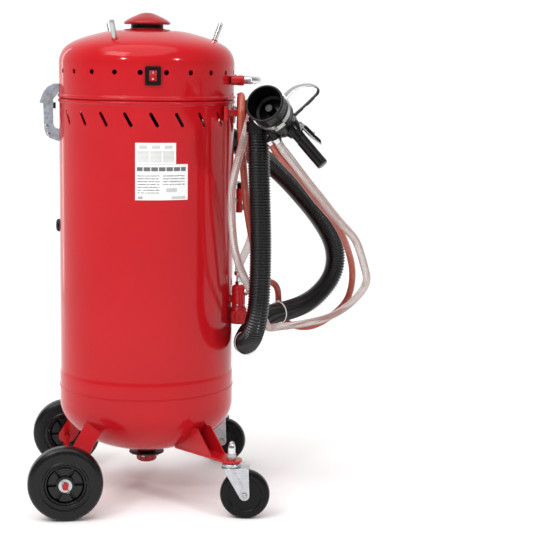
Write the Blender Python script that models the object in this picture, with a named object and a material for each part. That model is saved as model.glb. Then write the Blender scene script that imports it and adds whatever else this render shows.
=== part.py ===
"""Mobile vacuum-recovery abrasive blaster: a 100-litre class drum on two wheels and two casters, with a
hinged motor lid, a mixing valve, a hose hanger and a hooded blasting gun on three hoses.

Metres, +Z up, +X to the right, +Y away from the operator's side. Every position below is measured from the
drum's axis at floor level; the empty named blaster_frame then moves the whole object so that the middle of
its footprint is the world origin.
"""

import math

import bmesh
import bpy
from mathutils import Matrix, Vector

for old in list(bpy.data.objects):
    bpy.data.objects.remove(old)

# Where the drum's axis stands in the finished frame.
AXIS_X = -0.045856
AXIS_Y = 0.039379

# Drum, lower head and lid.
R = 0.180
SKIN = 0.0025
WELD_Z = 0.2331
SEAM_Z = 0.8300
LID_TOP = 0.9690
HOLE_Z = 0.8855
HOLE_COUNT = 22
HOLE_FIRST = -80.5
SLOT_FIRST = -90.8
SLOT_LEAN = 5.2
HEAD_R = 0.1815
HEAD_Z = 0.198
HEAD_DEPTH = 0.103
FINE = 32

# Running gear.
WHEEL_R = 0.075
WHEEL_X = -0.170
WHEEL_Y = 0.2085
CASTER_R = 0.050
CASTER_X = 0.160
CASTER_Y = 0.219
TRAIL = 0.0275
NEAR_TURN = -10.0
FAR_TURN = -20.0

# Lid hinge and latch.
HINGE_X = -0.2023
HINGE_Z = 0.8305

root = bpy.data.objects.new("blaster_frame", None)
root.location = (AXIS_X, AXIS_Y, 0.0)
parts = bpy.data.collections.new("vacuum_blaster")
tools = bpy.data.collections.new("cutters")
bpy.context.scene.collection.children.link(parts)
bpy.context.scene.collection.children.link(tools)
parts.objects.link(root)


def paint(name, colour, metallic=0.0, roughness=0.5):
    made = bpy.data.materials.new(name)
    made.use_nodes = True
    shader = made.node_tree.nodes["Principled BSDF"]
    shader.inputs["Base Color"].default_value = (*colour, 1.0)
    shader.inputs["Metallic"].default_value = metallic
    shader.inputs["Roughness"].default_value = roughness
    made.diffuse_color = (*colour, 1.0)
    return made


RED = ((0.60, 0.022, 0.026), 0.0, 0.25)
BLACK = ((0.015, 0.015, 0.017), 0.0, 0.45)
RUBBER = ((0.02, 0.02, 0.022), 0.0, 0.7)
ZINC = ((0.42, 0.45, 0.50), 1.0, 0.4)
STEEL = ((0.62, 0.62, 0.62), 1.0, 0.3)
CHROME = ((0.75, 0.75, 0.76), 1.0, 0.1)
WHITE = ((0.85, 0.85, 0.85), 0.0, 0.5)
CLEAR = ((0.70, 0.72, 0.72), 0.0, 0.2)
BRICK = ((0.35, 0.06, 0.04), 0.0, 0.5)


def keep(name, mesh, finish, at=(0.0, 0.0, 0.0)):
    """One object of the assembly, its origin at AT. FINISH is None for a cutter."""
    mesh.transform(Matrix.Translation(-Vector(at)))
    obj = bpy.data.objects.new(name, mesh)
    obj.location = at
    obj.parent = root
    if finish is None:
        tools.objects.link(obj)
        obj.hide_render = True
        obj.display_type = "WIRE"
        return obj
    parts.objects.link(obj)
    mesh.materials.append(paint(name + "_finish", *finish))
    return obj


def to_mesh(name, bm):
    bmesh.ops.recalc_face_normals(bm, faces=bm.faces)
    mesh = bpy.data.meshes.new(name)
    bm.to_mesh(mesh)
    bm.free()
    return mesh


def turned(origin, axis, side=None):
    """The matrix that takes local +Z to AXIS, and local +X towards SIDE, at ORIGIN."""
    w = Vector(axis).normalized()
    u = Vector(side) if side is not None else w.orthogonal()
    u = (u - w * u.dot(w)).normalized()
    v = w.cross(u)
    return Matrix.Translation(Vector(origin)) @ Matrix((u, v, w)).transposed().to_4x4()


def revolve(name, profile, segments=32, origin=(0, 0, 0), axis=(0, 0, 1)):
    """A closed profile of (radius, height) turned about the axis."""
    bm = bmesh.new()
    rings = []
    for radius, height in profile:
        if radius < 1e-9:
            rings.append([bm.verts.new((0, 0, height))])
            continue
        rings.append(
            [
                bm.verts.new(
                    (
                        radius * math.cos(math.tau * i / segments),
                        radius * math.sin(math.tau * i / segments),
                        height,
                    )
                )
                for i in range(segments)
            ]
        )
    for a, b in zip(rings, rings[1:] + rings[:1]):
        for i in range(segments):
            j = (i + 1) % segments
            corners = [a[i % len(a)], a[j % len(a)], b[j % len(b)], b[i % len(b)]]
            corners = list(dict.fromkeys(corners))
            if len(corners) > 2:
                bm.faces.new(corners)
    mesh = to_mesh(name, bm)
    mesh.transform(turned(origin, axis))
    return mesh


def rod(name, start, end, radius, segments=16, far_radius=None):
    start, end = Vector(start), Vector(end)
    length = (end - start).length
    far = radius if far_radius is None else far_radius
    profile = [(0, 0), (radius, 0), (far, length), (0, length)]
    return revolve(name, profile, segments, start, end - start)


def pipe(name, start, end, outer, inner, segments=24):
    start, end = Vector(start), Vector(end)
    length = (end - start).length
    profile = [(inner, 0), (outer, 0), (outer, length), (inner, length)]
    return revolve(name, profile, segments, start, end - start)


def plate(name, outline, thickness, origin=(0, 0, 0), normal=(0, -1, 0), side=(1, 0, 0)):
    """A flat outline, in the plane whose first axis is SIDE, made THICKNESS deep and centred on ORIGIN."""
    bm = bmesh.new()
    low = [bm.verts.new((x, y, -thickness / 2)) for x, y in outline]
    high = [bm.verts.new((x, y, thickness / 2)) for x, y in outline]
    bm.faces.new(low)
    bm.faces.new(high)
    for i in range(len(outline)):
        j = (i + 1) % len(outline)
        bm.faces.new((low[i], low[j], high[j], high[i]))
    mesh = to_mesh(name, bm)
    mesh.transform(turned(origin, normal, side))
    return mesh


def block(name, low, high):
    middle = (Vector(low) + Vector(high)) / 2
    size = Vector(high) - Vector(low)
    bm = bmesh.new()
    bmesh.ops.create_cube(bm, size=1.0)
    mesh = to_mesh(name, bm)
    mesh.transform(Matrix.Translation(middle) @ Matrix.Diagonal((*size, 1.0)))
    return mesh


def arc(centre, radius, start, end, steps):
    """Points of an arc in a plane, from START to END degrees."""
    return [
        (
            centre[0] + radius * math.cos(math.radians(start + (end - start) * i / steps)),
            centre[1] + radius * math.sin(math.radians(start + (end - start) * i / steps)),
        )
        for i in range(steps + 1)
    ]


def smooth(route, count):
    """COUNT even points of a Catmull-Rom curve through ROUTE, and one close to each end to square it."""
    ends = [2 * Vector(route[0]) - Vector(route[1])]
    ends += [Vector(p) for p in route]
    ends += [2 * Vector(route[-1]) - Vector(route[-2])]
    dense = []
    for a, b, c, d in zip(ends, ends[1:], ends[2:], ends[3:]):
        for k in range(24):
            t = k / 24
            dense.append(
                0.5
                * (
                    2 * b
                    + (c - a) * t
                    + (2 * a - 5 * b + 4 * c - d) * t * t
                    + (3 * b - a - 3 * c + d) * t * t * t
                )
            )
    dense.append(ends[-2])
    run = [0.0]
    for a, b in zip(dense, dense[1:]):
        run.append(run[-1] + (b - a).length)
    made = []
    k = 0
    wanted = [run[-1] * i / (count - 1) for i in range(count)]
    wanted[1:1] = [0.004]
    wanted[-1:-1] = [run[-1] - 0.004]
    for want in wanted:
        while k < len(run) - 2 and run[k + 1] < want:
            k += 1
        span = max(run[k + 1] - run[k], 1e-12)
        made.append(dense[k].lerp(dense[k + 1], (want - run[k]) / span))
    return made


def sweep(name, points, radius, segments=10, flat=1.0, inner=None, side=None):
    """A round or flattened section carried along POINTS without twist, closed at both ends."""
    points = [Vector(p) for p in points]
    bm = bmesh.new()
    frames = []
    before = None
    for i, p in enumerate(points):
        ahead = (points[min(i + 1, len(points) - 1)] - points[max(i - 1, 0)]).normalized()
        if before is None:
            u = Vector(side) if side is not None else ahead.orthogonal()
        else:
            u = before
        u = (u - ahead * u.dot(ahead)).normalized()
        before = u
        frames.append((p, u, ahead.cross(u)))

    def ring(p, u, v, r):
        made = []
        for k in range(segments):
            a = math.tau * k / segments
            made.append(bm.verts.new(p + u * r * math.cos(a) + v * r * flat * math.sin(a)))
        return made

    def skin(rings):
        for a, b in zip(rings, rings[1:]):
            for k in range(segments):
                m = (k + 1) % segments
                bm.faces.new((a[k], a[m], b[m], b[k]))

    outer = [ring(*f, radius) for f in frames]
    skin(outer)
    if inner is None:
        bm.faces.new(outer[0])
        bm.faces.new(outer[-1])
    else:
        bore = [ring(*f, inner) for f in frames]
        skin(bore)
        for a, b in ((outer[0], bore[0]), (outer[-1], bore[-1])):
            for k in range(segments):
                m = (k + 1) % segments
                bm.faces.new((a[k], a[m], b[m], b[k]))
    return to_mesh(name, bm)


def join(name, meshes):
    """Several separate closed meshes as one mesh, for a cutter."""
    bm = bmesh.new()
    for mesh in meshes:
        bm.from_mesh(mesh)
    made = bpy.data.meshes.new(name)
    bm.to_mesh(made)
    bm.free()
    return made


def shape(target, operation, mesh, name):
    """A live Boolean on TARGET, its operand kept as a hidden cutter."""
    tool = keep(name, mesh, None)
    step = target.modifiers.new(name, "BOOLEAN")
    step.operation = operation
    step.solver = "EXACT"
    step.object = tool
    return target


def add(target, mesh, name):
    return shape(target, "UNION", mesh, name)


def cut(target, mesh, name):
    return shape(target, "DIFFERENCE", mesh, name)


def polar(radius, degrees, z):
    a = math.radians(degrees)
    return Vector((radius * math.cos(a), radius * math.sin(a), z))


# ---------------------------------------------------------------- drum and lower head
drum = keep(
    "drum_shell",
    revolve(
        "drum_shell",
        [
            (HEAD_R, WELD_Z + 0.0003),
            (HEAD_R, 0.262),
            (R, 0.268),
            (R, 0.8215),
            (R + 0.0025, 0.8232),
            (R + 0.0025, 0.8280),
            (R, SEAM_Z - 0.0003),
            (R - SKIN, SEAM_Z - 0.0003),
            (R - SKIN, WELD_Z + 0.0003),
        ],
        FINE,
    ),
    RED,
)


def slot_tool(index):
    top = SLOT_FIRST + index * 360 / HOLE_COUNT
    high = polar(R, top + 0.6, 0.8045)
    low = polar(R, top + SLOT_LEAN - 0.6, 0.7825)
    out = polar(1.0, top + SLOT_LEAN / 2, 0.0)
    along = (low - high).length
    outline = arc((along / 2, 0), 0.0034, -90, 90, 2) + arc((-along / 2, 0), 0.0034, 90, 270, 2)
    return plate("slot", outline, 0.024, (high + low) / 2, out, low - high)


cut(drum, join("slots", [slot_tool(i) for i in range(HOLE_COUNT)]), "slots_cutter")


def head_profile(grow, depth_grow):
    steps = 5
    made = [(HEAD_R + grow, WELD_Z - 0.0003 + grow), (HEAD_R + grow, HEAD_Z)]
    for i in range(1, steps + 1):
        a = math.pi / 2 * i / steps
        made.append(((HEAD_R + grow) * math.cos(a), HEAD_Z - (HEAD_DEPTH + depth_grow) * math.sin(a)))
    return made


def open_head():
    outer = head_profile(0.0, 0.0)[:-1]
    inner = head_profile(-0.003, -0.003)[:-1]
    outer.append((0.0125, HEAD_Z - HEAD_DEPTH * 0.9976))
    inner.append((0.0125, HEAD_Z - (HEAD_DEPTH - 0.003) * 0.9976))
    inner[0] = (HEAD_R - 0.003, WELD_Z - 0.0003)
    return outer + inner[::-1]


keep("lower_head", revolve("lower_head", open_head(), FINE), RED)


def head_clearance(name):
    outline = head_profile(0.0004, 0.0004)
    outline[-1] = (0.0, outline[-1][1])
    return revolve(name, [(0, WELD_Z + 0.01), *[(HEAD_R + 0.0004, WELD_Z + 0.01)], *outline[1:]], FINE)


# Inner hopper: catches the recovered grit above the drum's floor and feeds the mixing valve.
hopper = keep(
    "hopper_cone",
    revolve(
        "hopper_cone",
        [
            (0.1768, 0.575),
            (0.1740, 0.575),
            (0.1740, 0.557),
            (0.0180, 0.437),
            (0.0180, 0.404),
            (0, 0.404),
            (0, 0.380),
            (0.0210, 0.380),
            (0.0210, 0.434),
            (0.1768, 0.554),
        ],
        32,
    ),
    ZINC,
)
VALVE = Vector((0.1870, -0.0660, 0.0))
toward = VALVE.normalized()
add(
    hopper,
    rod("hopper_outlet", (0, 0, 0.392), toward * 0.1750 + Vector((0, 0, 0.392)), 0.0100, 16),
    "hopper_outlet_tool",
)

keep(
    "drain_flange",
    revolve(
        "drain_flange",
        [
            (0.0085, 0.0805),
            (0.0372, 0.0805),
            (0.0372, 0.0845),
            (0.0190, 0.0845),
            (0.0190, 0.0930),
            (0.0119, 0.0930),
            (0.0119, 0.1080),
            (0.0085, 0.1080),
        ],
        20,
    ),
    ((0.05, 0.03, 0.03), 0.6, 0.5),
)
keep(
    "drain_cap",
    revolve(
        "drain_cap",
        [
            (0, 0.0615),
            (0.0150, 0.0620),
            (0.0205, 0.0660),
            (0.0217, 0.0700),
            (0.0217, 0.0802),
            (0.0080, 0.0802),
            (0.0080, 0.0900),
            (0, 0.0900),
        ],
        20,
    ),
    RED,
    (0, 0, 0.0615),
)

# ---------------------------------------------------------------- wheels and axle
for word, sign in (("near", -1), ("far", 1)):
    foot = Vector((WHEEL_X, sign * 0.172, WHEEL_R))
    top = Vector((-0.112, sign * 0.130, 0.170))
    up = (top - foot).normalized()
    across = (Vector((1, 0, 0)) - up * up.x).normalized()
    normal = across.cross(up)
    outline = arc((0, 0), 0.0185, 180, 360, 10) + [(0.0185, 0.155), (-0.0185, 0.155)]
    bracket = keep(
        "wheel_bracket_" + word,
        plate("wheel_bracket", outline, 0.004, foot, normal, across),
        RED,
    )
    hole = rod("axle_hole", foot + Vector((0, -0.03, 0)), foot + Vector((0, 0.03, 0)), 0.0064, 16)
    cut(bracket, hole, "axle_hole_" + word)
    cut(bracket, head_clearance("head_clear"), "head_clear_" + word)
    cut(bracket, revolve("drum_clear", [(0, 0.225), (0.1822, 0.225), (0.1822, 0.4), (0, 0.4)], FINE), "drum_clear_" + word)

AXLE_END = 0.2400
keep(
    "axle",
    rod("axle", (WHEEL_X, -AXLE_END, WHEEL_R), (WHEEL_X, AXLE_END, WHEEL_R), 0.0060, 16),
    RED,
)


def wheel_profile(outer, inner, half, shoulder):
    return [
        (inner, -half + 0.002),
        (outer - shoulder, -half),
        (outer - shoulder * 0.35, -half + shoulder * 0.3),
        (outer, -half + shoulder),
        (outer, half - shoulder),
        (outer - shoulder * 0.35, half - shoulder * 0.3),
        (outer - shoulder, half),
        (inner, half - 0.002),
    ]


for word, sign in (("near", -1), ("far", 1)):
    hub = (WHEEL_X, sign * WHEEL_Y, WHEEL_R)
    keep(
        "tyre_" + word,
        revolve("tyre", wheel_profile(WHEEL_R, 0.0410, 0.019, 0.008), 32, hub, (0, 1, 0)),
        RUBBER,
        hub,
    )
    keep(
        "rim_" + word,
        revolve(
            "rim",
            [
                (0.0064, -0.0180),
                (0.0150, -0.0180),
                (0.0170, -0.0070),
                (0.0350, -0.0060),
                (0.0370, -0.0160),
                (0.0406, -0.0160),
                (0.0406, 0.0160),
                (0.0370, 0.0160),
                (0.0350, 0.0060),
                (0.0170, 0.0070),
                (0.0150, 0.0180),
                (0.0064, 0.0180),
            ],
            20,
            hub,
            (0, 1, 0),
        ),
        BLACK,
        hub,
    )

# ---------------------------------------------------------------- casters
PLATE_LOW = 0.1158
PLATE_HIGH = 0.1203
for word, sign, turn in (("near", -1, NEAR_TURN), ("far", 1, FAR_TURN)):
    stem = Vector((CASTER_X, sign * CASTER_Y, 0.0))
    reach = stem.length
    out = stem.normalized()
    wide = Vector((0, 0, 1)).cross(out)
    middle = Vector((0, 0, (PLATE_LOW + PLATE_HIGH) / 2))
    outline = [(0.118, 0.0200), (0.118, -0.0200), (reach - 0.004, -0.0208)]
    outline += arc((reach, 0), 0.0212, -78, 78, 10) + [(reach - 0.004, 0.0208)]
    bracket = keep(
        "caster_bracket_" + word,
        plate("caster_plate", outline, PLATE_HIGH - PLATE_LOW, middle, (0, 0, 1), out),
        RED,
    )
    gusset = [
        (0.1196, PLATE_LOW + 0.0009),
        (0.2300, PLATE_LOW + 0.0009),
        (0.2300, PLATE_HIGH + 0.0010),
        (0.1870, 0.1690),
        (0.1640, 0.1690),
        (0.1196, 0.1400),
    ]
    for index, shift in enumerate((-0.0178, 0.0178)):
        mesh = plate("gusset", gusset, 0.003, wide * shift, out.cross(Vector((0, 0, 1))), out)
        add(bracket, mesh, "gusset_%s_%d" % (word, index))
    cut(bracket, head_clearance("caster_head_clear"), "caster_head_clear_" + word)
    cut(
        bracket,
        rod("stem_hole", stem + Vector((0, 0, 0.10)), stem + Vector((0, 0, 0.14)), 0.0058, 16),
        "stem_hole_" + word,
    )
    keep(
        "caster_stem_" + word,
        revolve(
            "caster_stem",
            [
                (0, 0.1055),
                (0.0195, 0.1055),
                (0.0195, 0.1125),
                (0.0160, 0.1155),
                (0.0055, 0.1155),
                (0.0055, 0.1206),
                (0.0100, 0.1206),
                (0.0100, 0.1225),
                (0.0085, 0.1225),
                (0.0085, 0.1450),
                (0.0078, 0.1510),
                (0.0050, 0.1555),
                (0, 0.1570),
            ],
            16,
            stem,
        ),
        STEEL,
    )
    turned_x = Vector((math.cos(math.radians(turn)), math.sin(math.radians(turn)), 0))
    turned_y = Vector((-turned_x.y, turned_x.x, 0))
    fork = keep(
        "caster_fork_" + word,
        plate(
            "fork_crown",
            arc((0, 0), 0.0205, 45, 315, 12) + [(0.036, -0.0180), (0.036, 0.0180)],
            0.0032,
            stem + Vector((0, 0, 0.1036)),
            (0, 0, 1),
            turned_x,
        ),
        ((0.70, 0.71, 0.70), 0.9, 0.35),
        stem + Vector((0, 0, 0.1036)),
    )
    leg = [(-0.0130, 0.1045), (-0.0130, 0.0990)] + arc((TRAIL, CASTER_R), 0.0105, 207, 360, 8)
    leg += [(0.0360, 0.0990), (0.0360, 0.1045)]
    for index, shift in enumerate((-0.0166, 0.0166)):
        mesh = plate("fork_leg", leg, 0.0028, stem + turned_y * shift, -turned_y, turned_x)
        add(fork, mesh, "fork_leg_%s_%d" % (word, index))
    hub = stem + turned_x * TRAIL + Vector((0, 0, CASTER_R))
    cut(fork, rod("bolt_hole", hub - turned_y * 0.03, hub + turned_y * 0.03, 0.0043, 12), "bolt_hole_" + word)
    keep(
        "caster_wheel_" + word,
        revolve(
            "caster_wheel",
            [
                (0.0044, -0.0130),
                (0.0120, -0.0130),
                (0.0140, -0.0100),
                (0.0440, -0.0120),
                (CASTER_R, -0.0070),
                (CASTER_R, 0.0070),
                (0.0440, 0.0120),
                (0.0140, 0.0100),
                (0.0120, 0.0130),
                (0.0044, 0.0130),
            ],
            24,
            hub,
            turned_y,
        ),
        RUBBER,
        hub,
    )
    keep(
        "caster_bolt_" + word,
        revolve(
            "caster_bolt",
            [
                (0, -0.0225),
                (0.0065, -0.0225),
                (0.0065, -0.0184),
                (0.0040, -0.0184),
                (0.0040, 0.0184),
                (0.0065, 0.0184),
                (0.0065, 0.0225),
                (0, 0.0225),
            ],
            12,
            hub,
            turned_y,
        ),
        STEEL,
    )

# ---------------------------------------------------------------- lid
lid = keep(
    "lid_shell",
    revolve(
        "lid_shell",
        [
            (R - SKIN, SEAM_Z + 0.0003),
            (R + 0.0005, SEAM_Z + 0.0003),
            (R + 0.0030, 0.8325),
            (R + 0.0030, 0.8368),
            (R, 0.8395),
            (R, 0.9040),
            (0.1748, 0.9220),
            (0.1665, 0.9330),
            (0.1465, 0.9434),
            (0.1070, 0.9561),
            (0.0740, LID_TOP),
            (0.0200, LID_TOP),
            (0.0200, LID_TOP - SKIN),
            (0.0732, LID_TOP - SKIN),
            (0.1453, 0.9410),
            (0.1724, 0.9207),
            (R - SKIN, 0.9035),
        ],
        FINE,
    ),
    RED,
    (HINGE_X, 0, HINGE_Z),
)
holes = [
    rod(
        "vent",
        polar(R - 0.012, HOLE_FIRST + i * 360 / HOLE_COUNT, HOLE_Z),
        polar(R + 0.012, HOLE_FIRST + i * 360 / HOLE_COUNT, HOLE_Z),
        0.0052,
        6,
    )
    for i in range(HOLE_COUNT)
]
cut(lid, join("vents", holes), "vents_cutter")
SWITCH_ANGLE = -89.0
SWITCH_Z = 0.8793
switch_out = polar(1.0, SWITCH_ANGLE, 0.0)
switch_across = Vector((0, 0, 1)).cross(switch_out)


def switch_block(name, half_wide, half_tall, inner, outer, rise=0.0):
    outline = [(-half_wide, -half_tall), (half_wide, -half_tall), (half_wide, half_tall), (-half_wide, half_tall)]
    middle = switch_out * (inner + outer) / 2 + Vector((0, 0, SWITCH_Z + rise))
    return plate(name, outline, outer - inner, middle, switch_out, switch_across)


cut(lid, switch_block("switch_window", 0.0113, 0.0153, 0.165, 0.190), "switch_window_cutter")
bezel = keep("switch_bezel", switch_block("switch_bezel", 0.0155, 0.0183, R + 0.0003, R + 0.0045), BLACK)
add(bezel, switch_block("switch_body", 0.0110, 0.0150, 0.158, R + 0.002), "switch_body_tool")
cut(bezel, switch_block("switch_well", 0.0078, 0.0112, 0.1705, 0.190), "switch_well_cutter")
rocker_at = switch_out * (R + 0.0015) + Vector((0, 0, SWITCH_Z))
rocker_outline = [(-0.0104, 0.0026), (0.0, 0.0008), (0.0104, 0.0050), (0.0104, 0.0016)]
rocker_outline += arc((0, 0), 0.0080, -25, -155, 6) + [(-0.0104, -0.0008)]
rocker = keep(
    "switch_rocker",
    plate("switch_rocker", [(x, y) for x, y in rocker_outline], 0.0148, rocker_at, switch_across, (0, 0, 1)),
    ((0.7, 0.02, 0.02), 0.0, 0.2),
    rocker_at,
)

keep(
    "exhaust_neck",
    revolve(
        "exhaust_neck",
        [
            (0.0190, LID_TOP - 0.0022),
            (0.0197, LID_TOP - 0.0022),
            (0.0197, LID_TOP + 0.0003),
            (0.0480, LID_TOP + 0.0003),
            (0.0480, LID_TOP + 0.0020),
            (0.0335, LID_TOP + 0.0020),
            (0.0335, 0.9805),
            (0.0300, 0.9805),
            (0.0300, LID_TOP + 0.0020),
            (0.0190, LID_TOP + 0.0020),
        ],
        24,
    ),
    BLACK,
)
keep(
    "exhaust_cap",
    revolve(
        "exhaust_cap",
        [
            (0, 0.9808),
            (0.0440, 0.9808),
            (0.0475, 0.9815),
            (0.0480, 0.9840),
            (0.0460, 0.9875),
            (0.0360, 0.9930),
            (0.0230, 0.9985),
            (0.0130, 1.0035),
            (0.0070, 1.0048),
            (0, 1.0050),
        ],
        24,
    ),
    RED,
)
PIN_R = 0.1380
PIN_LEAN = math.radians(20.0)
for index, bearing in enumerate((0.0, 120.0, -120.0)):
    lean = polar(math.sin(PIN_LEAN), bearing, math.cos(PIN_LEAN))
    base = polar(PIN_R, bearing, 0.9464) + lean * 0.0008
    tip = base + lean * 0.0430
    mesh = revolve(
        "lid_pin",
        [(0, 0), (0.0050, 0), (0.0050, 0.0410), (0.0040, 0.0430), (0, 0.0430)],
        12,
        base,
        lean,
    )
    keep("lid_pin_%d" % (index + 1), mesh, STEEL)

HANDLE_Z = 0.8705
HANDLE_Y = 0.0740
HANDLE_X = 0.2225
for word, sign in (("near", -1), ("far", 1)):
    tube = rod("handle_socket", (0.1655, sign * HANDLE_Y, HANDLE_Z), (0.184, sign * HANDLE_Y, HANDLE_Z), 0.0092, 16)
    add(lid, tube, "handle_socket_" + word)
cut(
    lid,
    revolve("lid_inside", [(0, 0.845), (R - SKIN, 0.845), (R - SKIN, 0.895), (0, 0.895)], FINE),
    "lid_inside_cutter",
)
bend = 0.022
loop = [(0.1843, -HANDLE_Y), (0.1930, -HANDLE_Y)]
loop += arc((HANDLE_X - bend, -HANDLE_Y + bend), bend, -90, 0, 5)
loop += arc((HANDLE_X - bend, HANDLE_Y - bend), bend, 0, 90, 5)
loop += [(0.1930, HANDLE_Y), (0.1843, HANDLE_Y)]
keep("lid_handle", sweep("lid_handle", [(x, y, HANDLE_Z) for x, y in loop], 0.0078, 10), CHROME)

# The suction unit under the lid: deck on a seal, motor above it, filter below it.
add(drum, pipe("deck_ring", (0, 0, 0.7700), (0, 0, 0.7742), 0.1785, 0.1500, FINE), "deck_ring_tool")
keep(
    "motor_deck",
    revolve("motor_deck", [(0.030, 0.7745), (0.165, 0.7745), (0.165, 0.7785), (0.030, 0.7785)], 32),
    ZINC,
)
keep(
    "suction_motor",
    revolve(
        "suction_motor",
        [
            (0, 0.7788),
            (0.0720, 0.7788),
            (0.0720, 0.8550),
            (0.0600, 0.8650),
            (0.0520, 0.9250),
            (0.0300, 0.9350),
            (0.0250, 0.9662),
            (0, 0.9662),
        ],
        32,
    ),
    BLACK,
)
keep(
    "filter_cartridge",
    revolve(
        "filter_cartridge",
        [
            (0, 0.6200),
            (0.0600, 0.6200),
            (0.0620, 0.6240),
            (0.0620, 0.7660),
            (0.0680, 0.7680),
            (0.0680, 0.7742),
            (0, 0.7742),
        ],
        32,
    ),
    WHITE,
)

# ---------------------------------------------------------------- lid hinge
arm_outline = [
    (-0.1804, 0.8416),
    (-0.1804, 0.8590),
    (-0.1916, 0.8585),
    (-0.2040, 0.8515),
    (-0.2120, 0.8410),
    (-0.2195, 0.8207),
    (-0.2150, 0.8190),
    (-0.2023, 0.8190),
    (-0.1925, 0.8255),
]
arm = keep(
    "hinge_arm",
    plate("hinge_arm", arm_outline, 0.0320),
    ZINC,
    (HINGE_X, 0, HINGE_Z),
)
pocket = [(HINGE_X + 0.0128, 0.8000), (HINGE_X + 0.0128, HINGE_Z)]
pocket += arc((HINGE_X, HINGE_Z), 0.0128, 0, 90, 6)[1:] + [(-0.2300, HINGE_Z + 0.0128), (-0.2300, 0.8000)]
cut(arm, plate("hinge_pocket", pocket, 0.0250), "hinge_pocket_cutter")
cut(arm, rod("hinge_arm_bore", (HINGE_X, -0.03, HINGE_Z), (HINGE_X, 0.03, HINGE_Z), 0.0043, 16), "hinge_arm_bore_cutter")
base_outline = [
    (-0.2118, HINGE_Z),
    (-0.2105, 0.7695),
    (-0.2075, 0.7575),
    (-0.1990, 0.7480),
    (-0.1804, 0.7415),
    (-0.1804, 0.7660),
    (-0.1885, 0.7685),
    (-0.1920, 0.7760),
    (-0.1922, HINGE_Z),
]
base_outline = arc((HINGE_X, HINGE_Z), 0.0100, 0, 180, 8) + base_outline[1:-1]
base = keep("hinge_base", plate("hinge_base", base_outline, 0.0242), ZINC)
cut(base, rod("hinge_base_bore", (HINGE_X, -0.03, HINGE_Z), (HINGE_X, 0.03, HINGE_Z), 0.0043, 16), "hinge_base_bore_cutter")
keep(
    "hinge_bolt",
    revolve(
        "hinge_bolt",
        [
            (0, -0.0215),
            (0.0078, -0.0215),
            (0.0078, -0.0163),
            (0.0040, -0.0163),
            (0.0040, 0.0163),
            (0.0078, 0.0163),
            (0.0078, 0.0215),
            (0, 0.0215),
        ],
        16,
        (HINGE_X, 0, HINGE_Z),
        (0, 1, 0),
    ),
    STEEL,
)
keep("hinge_bumper", block("hinge_bumper", (-0.1917, -0.010, 0.8085), (-0.1868, 0.010, 0.8205)), RUBBER)

# ---------------------------------------------------------------- lid latch
LATCH_ANGLE = -7.0
latch_out = polar(1.0, LATCH_ANGLE, 0.0)
latch_side = Vector((0, 0, 1)).cross(latch_out)


def latch_plate(name, outline, thickness, shift=0.0):
    """OUTLINE is (distance from the drum's axis, height)."""
    return plate(name, outline, thickness, latch_side * shift, latch_out.cross(Vector((0, 0, 1))), latch_out)


LEVER_R, LEVER_Z = 0.1900, 0.8060
HOOK_R, HOOK_Z = 0.1945, 0.7960
mount = keep(
    "latch_base",
    latch_plate("latch_base", [(0.1806, 0.7820), (0.1826, 0.7820), (0.1826, 0.8180), (0.1806, 0.8180)], 0.022),
    ZINC,
)
for index, shift in enumerate((-0.0098, 0.0098)):
    ear = [(0.1815, 0.7930), (0.1900, 0.8010)] + arc((LEVER_R, LEVER_Z), 0.0050, -60, 90, 5) + [(0.1815, 0.8170)]
    add(mount, latch_plate("latch_ear", ear, 0.0020, shift), "latch_ear_%d" % index)
lever_axis_at = latch_out * LEVER_R + Vector((0, 0, LEVER_Z))
lever = keep(
    "latch_lever",
    latch_plate(
        "latch_lever",
        arc((LEVER_R, LEVER_Z), 0.0042, 20, 160, 4)
        + [(0.1858, 0.7960), (0.1852, 0.7720), (0.1890, 0.7640), (0.1930, 0.7660), (0.1985, 0.7850), (0.1990, 0.7980)],
        0.0170,
    ),
    BLACK,
    lever_axis_at,
)
cut(lever, latch_plate("latch_lever_slot", [(0.1895, 0.7880), (0.2050, 0.7880), (0.2050, 0.8200), (0.1920, 0.8200), (0.1895, 0.8000)], 0.0080), "latch_lever_slot_cutter")
hook_route = [
    (HOOK_R + 0.0010, HOOK_Z),
    (HOOK_R + 0.0012, 0.8150),
    (HOOK_R + 0.0012, 0.8330),
    (HOOK_R - 0.0005, 0.8395),
    (HOOK_R - 0.0040, 0.8418),
    (HOOK_R - 0.0072, 0.8412),
    (HOOK_R - 0.0080, 0.8395),
]
keep(
    "latch_hook",
    sweep("latch_hook", [latch_out * r + Vector((0, 0, z)) for r, z in hook_route], 0.0022, 8),
    CHROME,
    latch_out * (HOOK_R + 0.0010) + Vector((0, 0, HOOK_Z)),
)

# ---------------------------------------------------------------- fittings on the drum
INLET_ANGLE = 24.0
INLET_Z = 0.7450
inlet_out = polar(1.0, INLET_ANGLE, 0.0)
inlet_path = [inlet_out * 0.176 + Vector((0, 0, INLET_Z))]
inlet_turn = 34.0
bend_r = 0.030
inlet_path.append(inlet_out * 0.192 + Vector((0, 0, INLET_Z)))
for i in range(1, 6):
    a = math.radians(inlet_turn * i / 5)
    inlet_path.append(
        inlet_out * (0.192 + bend_r * math.sin(a)) + Vector((0, 0, INLET_Z - bend_r * (1 - math.cos(a))))
    )
down = inlet_out * math.cos(math.radians(inlet_turn)) - Vector((0, 0, math.sin(math.radians(inlet_turn))))
inlet_path.append(inlet_path[-1] + down * 0.022)
INLET_END = inlet_path[-1]
inlet = keep("hose_inlet", sweep("hose_inlet", inlet_path, 0.0232, 14, inner=0.0190), BLACK)
add(
    inlet,
    pipe("inlet_flange", inlet_out * 0.1745 + Vector((0, 0, INLET_Z)), inlet_out * 0.1850 + Vector((0, 0, INLET_Z)), 0.0300, 0.0210, 20),
    "inlet_flange_tool",
)
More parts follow.
